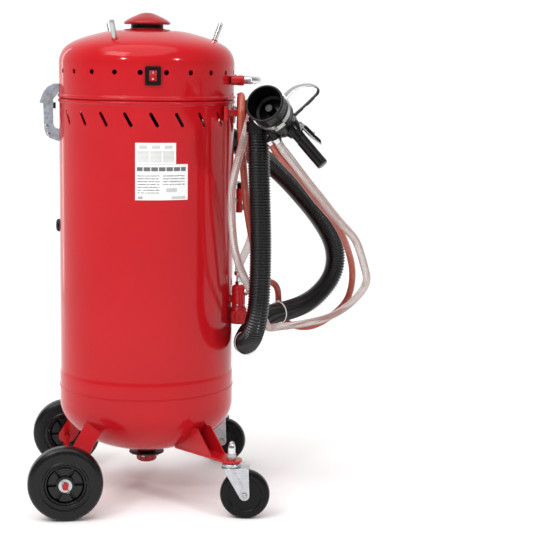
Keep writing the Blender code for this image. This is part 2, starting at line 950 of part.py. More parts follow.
cut(inlet, revolve("inlet_clear", [(0, 0.65), (R + 0.0004, 0.65), (R + 0.0004, 0.82), (0, 0.82)], FINE), "inlet_clear_cutter")
cut(
    drum,
    rod("inlet_port", inlet_out * 0.160 + Vector((0, 0, INLET_Z)), inlet_out * 0.195 + Vector((0, 0, INLET_Z)), 0.0190, 20),
    "inlet_port_cutter",
)


def label_mesh():
    """An L-shaped sticker bent to the drum."""
    bm = bmesh.new()
    left, notch, right = -99.9, -74.2, -66.2
    low, shelf, high = 0.6365, 0.7072, 0.7490
    columns = [left + (notch - left) * i / 6 for i in range(7)] + [-71.6, -68.9, right]
    levels = [low, shelf, high]
    grid = {}
    for depth, radius in ((0, R + 0.0003), (1, R + 0.0007)):
        for i, bearing in enumerate(columns):
            for j, z in enumerate(levels):
                if j == 2 and i > 6:
                    continue
                grid[depth, i, j] = bm.verts.new(polar(radius, bearing, z))
    cells = [(i, 0) for i in range(len(columns) - 1)] + [(i, 1) for i in range(6)]
    for depth in (0, 1):
        for i, j in cells:
            corners = ((i, j), (i + 1, j), (i + 1, j + 1), (i, j + 1))
            bm.faces.new([grid[depth, a, b] for a, b in corners])
    edges = {}
    for i, j in cells:
        corners = ((i, j), (i + 1, j), (i + 1, j + 1), (i, j + 1))
        for a, b in zip(corners, corners[1:] + corners[:1]):
            key = tuple(sorted((a, b)))
            edges[key] = edges.get(key, 0) + 1
    for (a, b), uses in edges.items():
        if uses == 1:
            bm.faces.new((grid[0, *a], grid[0, *b], grid[1, *b], grid[1, *a]))
    return to_mesh("rating_label", bm)


keep("rating_label", label_mesh(), WHITE)
plug_out = polar(1.0, 176.0, 0.0)
keep(
    "side_plug",
    revolve(
        "side_plug",
        [(0, 0), (0.0135, 0), (0.0130, 0.0050), (0.0095, 0.0068), (0, 0.0072)],
        20,
        plug_out * (R + 0.0012) + Vector((0, 0, 0.566)),
        plug_out,
    ),
    BLACK,
)

valve_body = keep(
    "mixing_valve",
    revolve(
        "mixing_valve",
        [
            (0, 0.3985),
            (0.0165, 0.3985),
            (0.0150, 0.4020),
            (0.0140, 0.4060),
            (0.0140, 0.4420),
            (0.0125, 0.4475),
            (0.0090, 0.4505),
            (0, 0.4505),
        ],
        20,
        VALVE,
    ),
    RED,
)
add(
    valve_body,
    rod("valve_stub", toward * 0.1806 + Vector((0, 0, 0.4200)), toward * 0.192 + Vector((0, 0, 0.4200)), 0.0070, 12),
    "valve_stub_tool",
)
port_out = Vector((0.0205, -0.0070, 0)).normalized()
FEED_PORT = VALVE + port_out * 0.0217 + Vector((0, 0, 0.4360))
add(
    valve_body,
    rod("valve_air_port", VALVE + Vector((0, 0, 0.4360)), FEED_PORT, 0.0052, 12),
    "valve_air_port_tool",
)
keep(
    "mixing_sleeve",
    revolve(
        "mixing_sleeve",
        [
            (0, 0.3690),
            (0.0150, 0.3695),
            (0.0172, 0.3730),
            (0.0172, 0.3960),
            (0.0160, 0.3982),
            (0, 0.3982),
        ],
        20,
        VALVE,
    ),
    RED,
    (VALVE.x, VALVE.y, 0.369),
)
keep(
    "valve_fitting",
    revolve(
        "valve_fitting",
        [
            (0, 0.4508),
            (0.0070, 0.4508),
            (0.0070, 0.4580),
            (0.0048, 0.4590),
            (0.0048, 0.4680),
            (0, 0.4680),
        ],
        12,
        VALVE,
    ),
    CHROME,
)
AIR = Vector((0.1935, 0.0, 0.0))
air = keep(
    "air_valve",
    revolve("air_valve", [(0, 0.5940), (0.0068, 0.5940), (0.0068, 0.6445), (0, 0.6445)], 16, AIR),
    RED,
)
add(air, rod("air_stub", (0.1804, 0, 0.6200), (0.1935, 0, 0.6200), 0.0052, 12), "air_stub_tool")
add(air, rod("air_port", (0.1935, 0, 0.6060), (0.2060, 0, 0.6060), 0.0056, 12), "air_port_tool")
AIR_PORT = Vector((0.2060, 0, 0.6060))
outlet_out = polar(1.0, 42.0, 0.0)
OUTLET = outlet_out * 0.2050 + Vector((0, 0, 0.3900))
outlet = keep(
    "air_outlet",
    rod("air_outlet", outlet_out * 0.1790 + Vector((0, 0, 0.3900)), OUTLET, 0.0060, 12),
    STEEL,
)
add(
    outlet,
    rod("air_outlet_nut", outlet_out * 0.1790 + Vector((0, 0, 0.3900)), outlet_out * 0.1900 + Vector((0, 0, 0.3900)), 0.0105, 6),
    "air_outlet_nut_tool",
)
cut(
    outlet,
    revolve("outlet_clear", [(0, 0.3), (R + 0.0004, 0.3), (R + 0.0004, 0.5), (0, 0.5)], FINE),
    "outlet_clear_cutter",
)
tap = keep(
    "air_tap",
    revolve("air_tap", [(0, 0.6448), (0.0052, 0.6448), (0.0052, 0.6540), (0, 0.6540)], 12, AIR),
    BLACK,
    (AIR.x, AIR.y, 0.6448),
)
add(tap, block("air_tap_arm", (AIR.x - 0.0042, -0.0060, 0.6500), (AIR.x + 0.0042, 0.0420, 0.6570)), "air_tap_arm_tool")

# ---------------------------------------------------------------- hose hanger
HANGER = Vector((0.2150, -0.1050, 0.8000))
hanger_ring = arc((0, 0), 0.0330, 200, -20, 14) + arc((0, 0), 0.0300, -20, 200, 14)
hanger = keep(
    "hose_hanger",
    plate("hose_hanger", hanger_ring, 0.0430, HANGER, (1, 0, 0), (0, 1, 0)),
    RED,
)
web = [(-0.0310, -0.0060), (0.0310, -0.0060), (0.0310, 0.0040), (0.0100, 0.0310), (-0.0100, 0.0310), (-0.0310, 0.0040)]
add(hanger, plate("hanger_web", web, 0.0040, HANGER - Vector((0.0150, 0, 0)), (1, 0, 0), (0, 1, 0)), "hanger_web_tool")
add(hanger, block("hanger_arm", (0.130, -0.1090, 0.7940), (0.202, -0.1010, 0.8260)), "hanger_arm_tool")
add(hanger, block("hanger_foot", (0.135, -0.1250, 0.7850), (0.160, -0.0850, 0.8180)), "hanger_foot_tool")
cut(
    hanger,
    revolve("hanger_clear", [(0, 0.70), (R + 0.0004, 0.70), (R + 0.0030, 0.8190), (R + 0.0030, 0.9), (0, 0.9)], FINE),
    "hanger_clear_cutter",
)

# ---------------------------------------------------------------- gun
MOUTH = Vector((0.2071, -0.2960, 0.8323))
BORE = Vector((0.467, 0.782, -0.413)).normalized()
GRIP = Vector((0.600, -0.350, -0.715)).normalized()
cup = revolve(
    "gun_cup",
    [
        (0.0330, 0),
        (0.0372, 0),
        (0.0380, 0.0030),
        (0.0372, 0.0100),
        (0.0360, 0.0600),
        (0.0310, 0.0600),
        (0.0310, 0.0420),
        (0.0322, 0.0150),
    ],
    24,
    MOUTH,
    BORE,
)
keep("gun_cup", cup, RUBBER)
keep(
    "gun_clamp",
    pipe("gun_clamp", MOUTH + BORE * 0.0460, MOUTH + BORE * 0.0580, 0.0384, 0.0371, 24),
    STEEL,
)
gun = keep(
    "gun_body",
    revolve(
        "gun_body",
        [
            (0, 0.0250),
            (0.0075, 0.0250),
            (0.0085, 0.0450),
            (0.0305, 0.0450),
            (0.0305, 0.0605),
            (0.0350, 0.0605),
            (0.0350, 0.0660),
            (0.0305, 0.0690),
            (0.0290, 0.1030),
            (0.0240, 0.1100),
            (0, 0.1100),
        ],
        24,
        MOUTH,
        BORE,
    ),
    BLACK,
)
GRIP_ROOT = Vector((0.2599, -0.2250, 0.7938))
LEVER_SIDE = Vector((0.765, 0.050, 0.644))
LEVER_SIDE = (LEVER_SIDE - GRIP * LEVER_SIDE.dot(GRIP)).normalized()
grip_path = [GRIP_ROOT + GRIP * s for s in (0.0, 0.030, 0.060, 0.090, 0.112)]
add(gun, sweep("gun_grip", grip_path, 0.0108, 16, 1.35, side=LEVER_SIDE), "gun_grip_tool")
PORT_END = Vector((0.2103, -0.1850, 0.7935))
PORT_BEND = PORT_END + Vector((0, 0, 0.0315))
PORT_R = 0.0185
ball = [(PORT_R * math.cos(math.radians(t)), PORT_R * math.sin(math.radians(t))) for t in range(-75, 76, 15)]
add(gun, rod("gun_port", (0.2480, -0.2310, 0.7985), PORT_BEND, PORT_R - 0.0002, 18), "gun_port_tool")
add(gun, revolve("gun_elbow", [(0, -PORT_R), *ball, (0, PORT_R)], 18, PORT_BEND, (0.3, 0.1, 1.0)), "gun_elbow_tool")
add(gun, rod("gun_spigot", PORT_BEND + Vector((0, 0, 0.002)), PORT_END, PORT_R - 0.0004, 20), "gun_spigot_tool")
FEED_DIR = Vector((0.55, 0.28, -0.79)).normalized()
FEED_END = Vector((0.2437, -0.2260, 0.7560))
add(gun, rod("gun_feed", FEED_END - FEED_DIR * 0.030, FEED_END, 0.0095, 14), "gun_feed_tool")
BLOW_END = Vector((0.2325, -0.2130, 0.7505))
add(gun, rod("gun_blow_root", (0.2450, -0.2230, 0.7900), BLOW_END - FEED_DIR * 0.009, 0.0070, 12), "gun_blow_root_tool")
add(gun, rod("gun_blow", BLOW_END - FEED_DIR * 0.014, BLOW_END, 0.0077, 12), "gun_blow_tool")
add(gun, rod("gun_rest", (0.2500, -0.1605, 0.8000), (0.2520, -0.2300, 0.7985), 0.0080, 12), "gun_rest_tool")
add(
    hanger,
    block("hanger_lip", (0.2300, -0.1600, 0.7920), (0.2580, -0.1350, 0.8080)),
    "hanger_lip_tool",
)
loop_route = [
    (0.2590, -0.2420, 0.8475),
    (0.2670, -0.2390, 0.8550),
    (0.2800, -0.2340, 0.8620),
    (0.2950, -0.2300, 0.8655),
    (0.3100, -0.2280, 0.8650),
    (0.3210, -0.2260, 0.8590),
    (0.3200, -0.2240, 0.8490),
    (0.3090, -0.2220, 0.8370),
    (0.2960, -0.2200, 0.8240),
    (0.2830, -0.2180, 0.8120),
]
keep("gun_loop", sweep("gun_loop", smooth(loop_route, 20), 0.0052, 8, 1.0), CHROME)
lever_root = GRIP_ROOT + GRIP * 0.0270 + LEVER_SIDE * 0.0172
trigger_axis = GRIP.cross(LEVER_SIDE).normalized()
trigger = keep(
    "gun_trigger",
    plate(
        "gun_trigger",
        arc((0, 0), 0.0036, 90, 270, 5)
        + [(0.0200, -0.0010), (0.0560, 0.0045), (0.0640, 0.0095), (0.0560, 0.0112), (0.0300, 0.0092), (0.0120, 0.0062)],
        0.0140,
        lever_root,
        trigger_axis,
        GRIP,
    ),
    ZINC,
    lever_root,
)

# ---------------------------------------------------------------- hoses
vacuum_route = [
    tuple(PORT_END - Vector((0, 0, 0.0008))),
    tuple(PORT_END - Vector((0, 0, 0.0300))),
    (0.2125, -0.1850, 0.6900),
    (0.2175, -0.1850, 0.5500),
    (0.2160, -0.1850, 0.4450),
    (0.2115, -0.1830, 0.3980),
    (0.2030, -0.1550, 0.3520),
    (0.1960, -0.1030, 0.3330),
    (0.2090, -0.0300, 0.3350),
    (0.2350, 0.0500, 0.3430),
    (0.2750, 0.1250, 0.3520),
    (0.3300, 0.1750, 0.3560),
    (0.3800, 0.2000, 0.3720),
    (0.4230, 0.2080, 0.4150),
    (0.4370, 0.2060, 0.4600),
    (0.4290, 0.2030, 0.5080),
    (0.3990, 0.1980, 0.5590),
    (0.3580, 0.1880, 0.6090),
    (0.3130, 0.1640, 0.6560),
    (0.2720, 0.1350, 0.6900),
    tuple(INLET_END + down * 0.0320),
    tuple(INLET_END + down * 0.0150),
    tuple(INLET_END + down * 0.0012),
]
keep("vacuum_hose", sweep("vacuum_hose", smooth(vacuum_route, 48), 0.0225, 10), RUBBER)
abrasive_route = [
    (VALVE.x, VALVE.y, 0.4692),
    (VALVE.x, VALVE.y, 0.4780),
    (VALVE.x + 0.0005, VALVE.y, 0.4880),
    (0.1950, -0.0610, 0.5060),
    (0.2120, -0.0600, 0.5450),
    (0.2200, -0.0620, 0.6200),
    (0.2210, -0.0620, 0.7200),
    (0.2180, -0.0590, 0.7900),
    (0.2150, -0.0740, 0.8330),
    (0.2130, -0.1050, 0.8450),
    (0.2090, -0.1350, 0.8370),
    (0.2000, -0.1530, 0.8120),
    (0.1800, -0.1600, 0.7400),
    (0.1640, -0.1600, 0.6760),
    (0.1610, -0.1600, 0.6300),
    (0.1680, -0.1560, 0.5380),
    (0.1900, -0.1450, 0.4760),
    (0.2180, -0.1060, 0.4250),
    (0.2430, -0.0400, 0.3740),
    (0.2630, 0.0300, 0.3420),
    (0.2900, 0.0850, 0.3330),
    (0.3480, 0.1180, 0.3330),
    (0.4070, 0.1300, 0.3439),
    (0.4433, 0.1200, 0.3665),
    (0.4705, 0.1000, 0.3980),
    (0.4862, 0.0800, 0.4300),
    (0.4791, 0.0600, 0.4573),
    (0.4479, 0.0100, 0.5295),
    (0.4171, -0.0300, 0.5621),
    (0.3750, -0.0800, 0.6059),
    (0.3508, -0.1100, 0.6336),
    (0.3250, -0.1400, 0.6607),
    (0.2998, -0.1700, 0.6891),
    (0.2757, -0.1950, 0.7167),
    tuple(FEED_END + FEED_DIR * 0.0220),
    tuple(FEED_END + FEED_DIR * 0.0100),
    tuple(FEED_END + FEED_DIR * 0.0012),
]
keep("abrasive_hose", sweep("abrasive_hose", smooth(abrasive_route, 60), 0.0085, 6), CLEAR)
air_route = [
    tuple(OUTLET + outlet_out * 0.0012),
    tuple(OUTLET + outlet_out * 0.0100),
    tuple(OUTLET + outlet_out * 0.0200),
    (0.2100, 0.1740, 0.3960),
    (0.2560, 0.1920, 0.4140),
    (0.2950, 0.1950, 0.4180),
    (0.3060, 0.1990, 0.3968),
    (0.3070, 0.2020, 0.3550),
    (0.3190, 0.1980, 0.3250),
    (0.3500, 0.1780, 0.3150),
    (0.3830, 0.1680, 0.3183),
    (0.4130, 0.1640, 0.3358),
    (0.4400, 0.1540, 0.3600),
    (0.4560, 0.1350, 0.3904),
    (0.4600, 0.1150, 0.4331),
    (0.4540, 0.0950, 0.4706),
    (0.4370, 0.0630, 0.5118),
    (0.4200, 0.0270, 0.5415),
    (0.3960, -0.0050, 0.5769),
    (0.3710, -0.0400, 0.6031),
    (0.3450, -0.0740, 0.6290),
    (0.3190, -0.1090, 0.6585),
    (0.2930, -0.1430, 0.6874),
    (0.2620, -0.1815, 0.7150),
    tuple(BLOW_END + FEED_DIR * 0.0220),
    tuple(BLOW_END + FEED_DIR * 0.0100),
    tuple(BLOW_END + FEED_DIR * 0.0012),
]
keep("air_hose", sweep("air_hose", smooth(air_route, 54), 0.0073, 6), BRICK)
feed_route = [
    tuple(AIR_PORT + Vector((0.0012, 0, 0))),
    tuple(AIR_PORT + Vector((0.0080, 0, 0))),
    (0.2180, 0.0000, 0.6060),
    (0.2300, -0.0130, 0.6150),
    (0.2300, -0.0260, 0.6450),
    (0.2200, -0.0310, 0.6900),
    (0.2010, -0.0450, 0.7500),
    (0.1875, -0.0620, 0.8050),
    (0.1850, -0.0830, 0.8370),
    (0.1840, -0.1070, 0.8430),
    (0.1830, -0.1300, 0.8340),
    (0.1810, -0.1400, 0.8050),
    (0.1815, -0.1390, 0.7600),
    (0.1870, -0.1370, 0.6950),
    (0.1930, -0.1330, 0.6330),
    (0.2040, -0.1220, 0.5700),
    (0.2220, -0.1000, 0.5000),
    (0.2320, -0.0860, 0.4600),
    tuple(FEED_PORT + port_out * 0.0170),
    tuple(FEED_PORT + port_out * 0.0090),
    tuple(FEED_PORT + port_out * 0.0012),
]
keep("air_feed_hose", sweep("air_feed_hose", smooth(feed_route, 40), 0.0073, 6), BRICK)
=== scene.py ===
"""Looks of the mobile vacuum-recovery abrasive blaster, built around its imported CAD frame.

Positions are measured from the drum's axis at floor level, as in the CAD source.
AXIS moves them to the frame.
"""

import math

import bmesh
import bpy
from mathutils import Matrix, Vector


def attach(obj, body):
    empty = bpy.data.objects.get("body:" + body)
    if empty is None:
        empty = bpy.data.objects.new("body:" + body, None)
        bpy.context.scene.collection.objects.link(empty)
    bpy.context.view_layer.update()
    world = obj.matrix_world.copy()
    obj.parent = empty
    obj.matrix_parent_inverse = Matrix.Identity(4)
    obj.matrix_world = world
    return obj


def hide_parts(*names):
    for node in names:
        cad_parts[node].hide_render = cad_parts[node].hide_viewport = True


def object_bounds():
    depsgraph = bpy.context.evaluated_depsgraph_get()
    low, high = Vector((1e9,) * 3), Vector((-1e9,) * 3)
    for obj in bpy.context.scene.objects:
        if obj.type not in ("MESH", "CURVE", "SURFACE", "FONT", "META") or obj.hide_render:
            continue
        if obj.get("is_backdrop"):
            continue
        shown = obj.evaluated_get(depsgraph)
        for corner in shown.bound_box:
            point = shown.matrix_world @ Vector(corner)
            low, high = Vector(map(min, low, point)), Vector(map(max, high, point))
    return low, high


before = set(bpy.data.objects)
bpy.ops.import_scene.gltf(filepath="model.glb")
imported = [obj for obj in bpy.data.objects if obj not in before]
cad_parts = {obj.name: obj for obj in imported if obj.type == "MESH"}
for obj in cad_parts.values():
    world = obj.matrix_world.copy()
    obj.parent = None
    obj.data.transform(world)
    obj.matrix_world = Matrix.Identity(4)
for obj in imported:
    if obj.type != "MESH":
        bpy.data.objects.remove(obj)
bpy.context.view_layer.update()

AXIS = Vector((-0.045856, 0.039379, 0.0))
SHIFT = Matrix.Translation(AXIS)
UP = Vector((0, 0, 1))
FINE = 144

# ---------------------------------------------------------------- camera
LENS = 98.18
CAMERA = Vector((-0.14, -3.1257, 0.9181))
PITCH, YAW, ROLL = map(math.radians, (8.2585, 7.5006, 0.7966))
ahead = Vector((math.sin(YAW) * math.cos(PITCH), math.cos(YAW) * math.cos(PITCH), -math.sin(PITCH)))
level = Vector((math.cos(YAW), -math.sin(YAW), 0))
rise = level.cross(ahead)
right = level * math.cos(ROLL) + rise * math.sin(ROLL)
top = rise * math.cos(ROLL) - level * math.sin(ROLL)
lens = bpy.data.cameras.new("camera")
lens.lens = LENS
lens.sensor_width = 36.0
lens.clip_end = 60.0
camera = bpy.data.objects.new("camera", lens)
camera.matrix_world = Matrix.Translation(CAMERA + AXIS) @ Matrix((right, top, -ahead)).transposed().to_4x4()
bpy.context.scene.collection.objects.link(camera)
bpy.context.scene.camera = camera


# ---------------------------------------------------------------- materials
class Nodes:
    """A material's node tree with short ways to add to it."""

    def __init__(self, name):
        self.made = bpy.data.materials.new(name)
        self.made.use_nodes = True
        self.tree = self.made.node_tree
        self.shader = self.tree.nodes["Principled BSDF"]
        self.place = self.tree.nodes.new("ShaderNodeTexCoord").outputs["Object"]

    def add(self, kind, inputs=(), **settings):
        node = self.tree.nodes.new("ShaderNode" + kind)
        for key, value in settings.items():
            setattr(node, key, value)
        for key, value in dict(inputs).items():
            if isinstance(value, bpy.types.NodeSocket):
                self.tree.links.new(value, node.inputs[key])
            else:
                node.inputs[key].default_value = value
        return node

    def set(self, key, value):
        if isinstance(value, bpy.types.NodeSocket):
            self.tree.links.new(value, self.shader.inputs[key])
        else:
            self.shader.inputs[key].default_value = value

    def noise(self, scale, detail=3.0, where=None):
        inputs = {"Vector": where or self.place, "Scale": scale, "Detail": detail, "Roughness": 0.6}
        return self.add("TexNoise", inputs).outputs["Fac"]

    def span(self, value, low, high, start=0.3, end=0.7):
        inputs = {"Value": value, "From Min": start, "From Max": end, "To Min": low, "To Max": high}
        return self.add("MapRange", inputs).outputs["Result"]

    def math(self, operation, a, b=0.0):
        return self.add("Math", {0: a, 1: b}, operation=operation).outputs[0]

    def blend(self, factor, a, b):
        node = self.add("Mix", data_type="RGBA")
        for index, value in ((0, factor), (6, a), (7, b)):
            if isinstance(value, bpy.types.NodeSocket):
                self.tree.links.new(value, node.inputs[index])
            else:
                node.inputs[index].default_value = value
        return node.outputs[2]

    def bump(self, height, strength, distance, before=None):
        inputs = {"Height": height, "Strength": strength, "Distance": distance}
        if before is not None:
            inputs["Normal"] = before
        return self.add("Bump", inputs).outputs["Normal"]


def tone(colour, gain):
    return (*[min(c * gain, 1.0) for c in colour], 1.0)


def finish_nodes(
    name,
    colour,
    rough,
    metallic=0.0,
    coat=0.0,
    mottle=0.1,
    patch=18.0,
    grain=500.0,
    depth=0.1,
    spread=0.06,
    gloss=0.5,
):
    """The nodes of a finish: slow colour change, uneven gloss and a fine grain."""
    m = Nodes(name)
    slow = m.noise(patch)
    m.set("Base Color", m.blend(m.span(slow, 0.0, 1.0), tone(colour, 1 - mottle), tone(colour, 1 + mottle)))
    m.set("Roughness", m.span(m.noise(patch * 3.7), max(rough - spread, 0.02), rough + spread))
    m.set("Metallic", metallic)
    m.set("Specular IOR Level", gloss)
    m.set("Coat Weight", coat)
    m.set("Coat Roughness", 0.06)
    m.set("Normal", m.bump(m.noise(grain, 2.0), depth, 0.0004))
    return m


def surface(name, colour, rough, **settings):
    return finish_nodes(name, colour, rough, **settings).made


def dusty(name, colour, rough, dust, amount, **settings):
    """A dark moulding with a little pale dust in patches on its upward-facing places."""
    m = finish_nodes(name, colour, rough, **settings)
    base = m.shader.inputs["Base Color"].links[0].from_socket
    normal = m.add("NewGeometry").outputs["Normal"]
    facing = m.add("SeparateXYZ", {0: normal}).outputs["Z"]
    lying = m.math("MULTIPLY", m.span(facing, 0.0, 1.0, 0.1, 1.0), m.span(m.noise(60.0, 5.0), 0.2, 1.0))
    m.set("Base Color", m.blend(m.math("MULTIPLY", lying, amount), base, (*dust, 1.0)))
    return m.made


RED = surface(
    "red_enamel",
    (0.475, 0.008, 0.013),
    0.13,
    mottle=0.05,
    patch=5.0,
    grain=160.0,
    depth=0.03,
    spread=0.05,
    gloss=0.22,
)
RED_PART = surface(
    "red_enamel_part",
    (0.43, 0.007, 0.011),
    0.18,
    mottle=0.08,
    patch=30.0,
    grain=260.0,
    depth=0.06,
    gloss=0.3,
)
RED_GLOSS = surface(
    "red_plastic", (0.36, 0.007, 0.011), 0.12, mottle=0.04, patch=40.0, grain=700.0, depth=0.03, gloss=0.35
)
BLACK = surface(
    "black_plastic",
    (0.0018, 0.002, 0.0026),
    0.22,
    mottle=0.25,
    patch=60.0,
    grain=1500.0,
    depth=0.12,
    gloss=0.22,
)
RUBBER = dusty(
    "black_rubber",
    (0.002, 0.0022, 0.0028),
    0.3,
    (0.08, 0.076, 0.07),
    0.02,
    mottle=0.25,
    patch=60.0,
    grain=900.0,
    depth=0.18,
    gloss=0.2,
)
HOSE = surface(
    "corrugated_black",
    (0.0012, 0.0014, 0.002),
    0.2,
    mottle=0.2,
    patch=70.0,
    grain=1200.0,
    depth=0.06,
    gloss=0.5,
)
TYRE = dusty(
    "solid_tyre",
    (0.0018, 0.0022, 0.003),
    0.28,
    (0.1, 0.096, 0.09),
    0.02,
    mottle=0.3,
    patch=45.0,
    grain=700.0,
    depth=0.2,
    gloss=0.3,
)
RIM = surface(
    "rim_black", (0.0034, 0.0038, 0.0044), 0.3, mottle=0.2, patch=50.0, grain=1300.0, depth=0.05, gloss=0.35
)
CHROME = surface(
    "chrome",
    (0.66, 0.67, 0.69),
    0.06,
    metallic=1.0,
    mottle=0.03,
    patch=60.0,
    grain=300.0,
    depth=0.02,
    spread=0.03,
)
STEEL = surface(
    "plain_steel",
    (0.42, 0.42, 0.4),
    0.27,
    metallic=1.0,
    mottle=0.12,
    patch=110.0,
    grain=1200.0,
    depth=0.08,
    spread=0.1,
)
FORK = surface(
    "bright_zinc",
    (0.5, 0.52, 0.54),
    0.3,
    metallic=0.9,
    mottle=0.1,
    patch=70.0,
    grain=800.0,
    depth=0.06,
    spread=0.09,
)
PIN = surface(
    "pin_steel",
    (0.5, 0.5, 0.5),
    0.22,
    metallic=1.0,
    mottle=0.08,
    patch=90.0,
    grain=900.0,
    depth=0.05,
    spread=0.08,
)
# Dark carbide, painted darker than carbide itself: painted shade for the nozzle deep inside the hood, and for
# the loop strap's inner faces.
CARBIDE_AND_SHADE = surface("carbide_and_painted_shade", (0.02, 0.02, 0.022), 0.4, metallic=0.6, mottle=0.1, patch=90.0)
DARK = surface("dark_inside", (0.003, 0.003, 0.004), 0.8, mottle=0.2, gloss=0.1)
TIE = surface("tie_nylon", (0.72, 0.72, 0.7), 0.35, mottle=0.05, patch=200.0, grain=1500.0, depth=0.05)
MEDIA = surface("filter_media", (0.62, 0.61, 0.58), 0.8, mottle=0.1, patch=40.0, grain=1500.0, depth=0.3)


def zinc_material():
    """Blue-grey zinc plate with its faint spangle."""
    m = Nodes("zinc_plate")
    cells = m.add("TexVoronoi", {"Vector": m.place, "Scale": 190.0}).outputs["Color"]
    shade = m.add("RGBToBW", {0: cells}).outputs[0]
    m.set(
        "Base Color",
        m.blend(m.span(shade, 0.0, 1.0, 0.2, 0.8), (0.3, 0.34, 0.39, 1), (0.42, 0.46, 0.51, 1)),
    )
    m.set("Metallic", 0.8)
    m.set("Roughness", m.span(m.noise(70.0), 0.34, 0.52))
    m.set("Normal", m.bump(m.noise(500.0), 0.1, 0.0004))
    return m.made


def brick_material():
    """Brick-red air hose: satin outside with chalky scuffs running along it."""
    m = Nodes("brick_hose")
    scuff = m.span(m.noise(90.0, 6.0), 0.0, 1.0, 0.55, 0.75)
    body = m.blend(m.span(m.noise(25.0), 0.0, 1.0), (0.34, 0.05, 0.026, 1), (0.42, 0.072, 0.04, 1))
    m.set("Base Color", m.blend(m.math("MULTIPLY", scuff, 0.35), body, (0.62, 0.3, 0.24, 1)))
    m.set("Roughness", m.span(m.noise(140.0), 0.3, 0.48))
    m.set("Coat Weight", 0.3)
    m.set("Coat Roughness", 0.2)
    m.set("Normal", m.bump(m.noise(1100.0), 0.12, 0.0004))
    return m.made


def clear_material():
    """Cloudy clear vinyl."""
    m = Nodes("clear_vinyl")
    m.set(
        "Base Color", m.blend(m.span(m.noise(40.0), 0.0, 1.0), (0.9, 0.86, 0.84, 1), (0.96, 0.94, 0.92, 1))
    )
    m.set("Transmission Weight", 0.88)
    m.set("IOR", 1.22)
    m.set("Roughness", m.span(m.noise(120.0), 0.06, 0.16))
    m.set("Coat Weight", 0.5)
    m.set("Coat Roughness", 0.08)
    m.set("Normal", m.bump(m.noise(600.0), 0.05, 0.0003))
    return m.made


def label_material():
    """White film printed with plain grey bars and boxes, no lettering."""
    m = Nodes("label_film")
    x, y, z = m.add("SeparateXYZ", {0: m.place}).outputs
    bearing = m.math("ARCTAN2", m.math("SUBTRACT", y, AXIS.y), m.math("SUBTRACT", x, AXIS.x))
    across = m.math("MULTIPLY", bearing, 180 / math.pi)

    def between(value, low, high):
        return m.math("MULTIPLY", m.math("GREATER_THAN", value, low), m.math("LESS_THAN", value, high))

    def stripes(value, pitch, duty):
        return m.math("LESS_THAN", m.math("FRACT", m.math("MULTIPLY", value, 1 / pitch)), duty)

    def area(x0, x1, z0, z1):
        return m.math("MULTIPLY", between(across, x0, x1), between(z, z0, z1))

    words = m.math(
        "GREATER_THAN",
        m.noise(
            1.0,
            1.0,
            m.add(
                "CombineXYZ", {0: m.math("MULTIPLY", across, 1.3), 2: m.math("MULTIPLY", z, 380.0)}
            ).outputs[0],
        ),
        0.42,
    )
    ink = None
    for mask, amount in (
        (m.math("MULTIPLY", area(-98.6, -91.4, 0.711, 0.733), stripes(z, 0.0024, 0.5)), 0.5),
        (m.math("MULTIPLY", area(-90.6, -83.4, 0.711, 0.733), stripes(z, 0.0024, 0.5)), 0.5),
        (m.math("MULTIPLY", area(-82.6, -75.4, 0.711, 0.733), stripes(z, 0.0024, 0.5)), 0.5),
        (area(-97.5, -92.5, 0.737, 0.744), 0.35),
        (area(-89.5, -84.5, 0.737, 0.744), 0.35),
        (area(-81.5, -76.5, 0.737, 0.744), 0.35),
        (
            m.math(
                "MULTIPLY",
                area(-98.9, -67.6, 0.6935, 0.7015),
                m.math("GREATER_THAN", m.math("FRACT", m.math("MULTIPLY", across, 0.21)), 0.12),
            ),
            0.92,
        ),
        (
            m.math(
                "MULTIPLY",
                m.math("MULTIPLY", area(-98.6, -84.8, 0.65, 0.688), stripes(z, 0.0056, 0.38)),
                words,
            ),
            0.85,
        ),
        (
            m.math(
                "MULTIPLY",
                m.math("MULTIPLY", area(-82.6, -68.4, 0.664, 0.688), stripes(z, 0.0056, 0.38)),
                words,
            ),
            0.85,
        ),
        (m.math("MULTIPLY", area(-80.5, -73.5, 0.652, 0.66), stripes(across, 0.55, 0.55)), 0.75),
        (area(-98.2, -95.2, 0.6385, 0.644), 0.6),
        (area(-77.0, -67.8, 0.6385, 0.644), 0.4),
        (between(z, 0.7066, 0.7078), 0.35),
    ):
        part = m.math("MULTIPLY", mask, amount)
        ink = part if ink is None else m.math("MAXIMUM", ink, part)
    paper = m.blend(m.span(m.noise(60.0), 0.0, 1.0), (0.78, 0.78, 0.77, 1), (0.86, 0.86, 0.85, 1))
    m.set("Base Color", m.blend(ink, paper, (0.06, 0.06, 0.07, 1)))
    m.set("Roughness", 0.38)
    m.set("Coat Weight", 0.25)
    m.set("Normal", m.bump(m.noise(300.0), 0.05, 0.0004))
    return m.made


ZINC = zinc_material()
BRICK = brick_material()
CLEAR = clear_material()
RIB = surface(
    "spiral_rib", (0.5, 0.36, 0.33), 0.18, coat=0.4, mottle=0.08, patch=60.0, grain=900.0, depth=0.04
)
LABEL = label_material()


# ---------------------------------------------------------------- shapes
def to_mesh(bm):
    bmesh.ops.recalc_face_normals(bm, faces=bm.faces)
    mesh = bpy.data.meshes.new("shape")
    bm.to_mesh(mesh)
    bm.free()
    return mesh


def turned(origin, axis, side=None):
    w = Vector(axis).normalized()
    u = Vector(side) if side is not None else w.orthogonal()
    u = (u - w * u.dot(w)).normalized()
    return Matrix.Translation(Vector(origin)) @ Matrix((u, w.cross(u), w)).transposed().to_4x4()


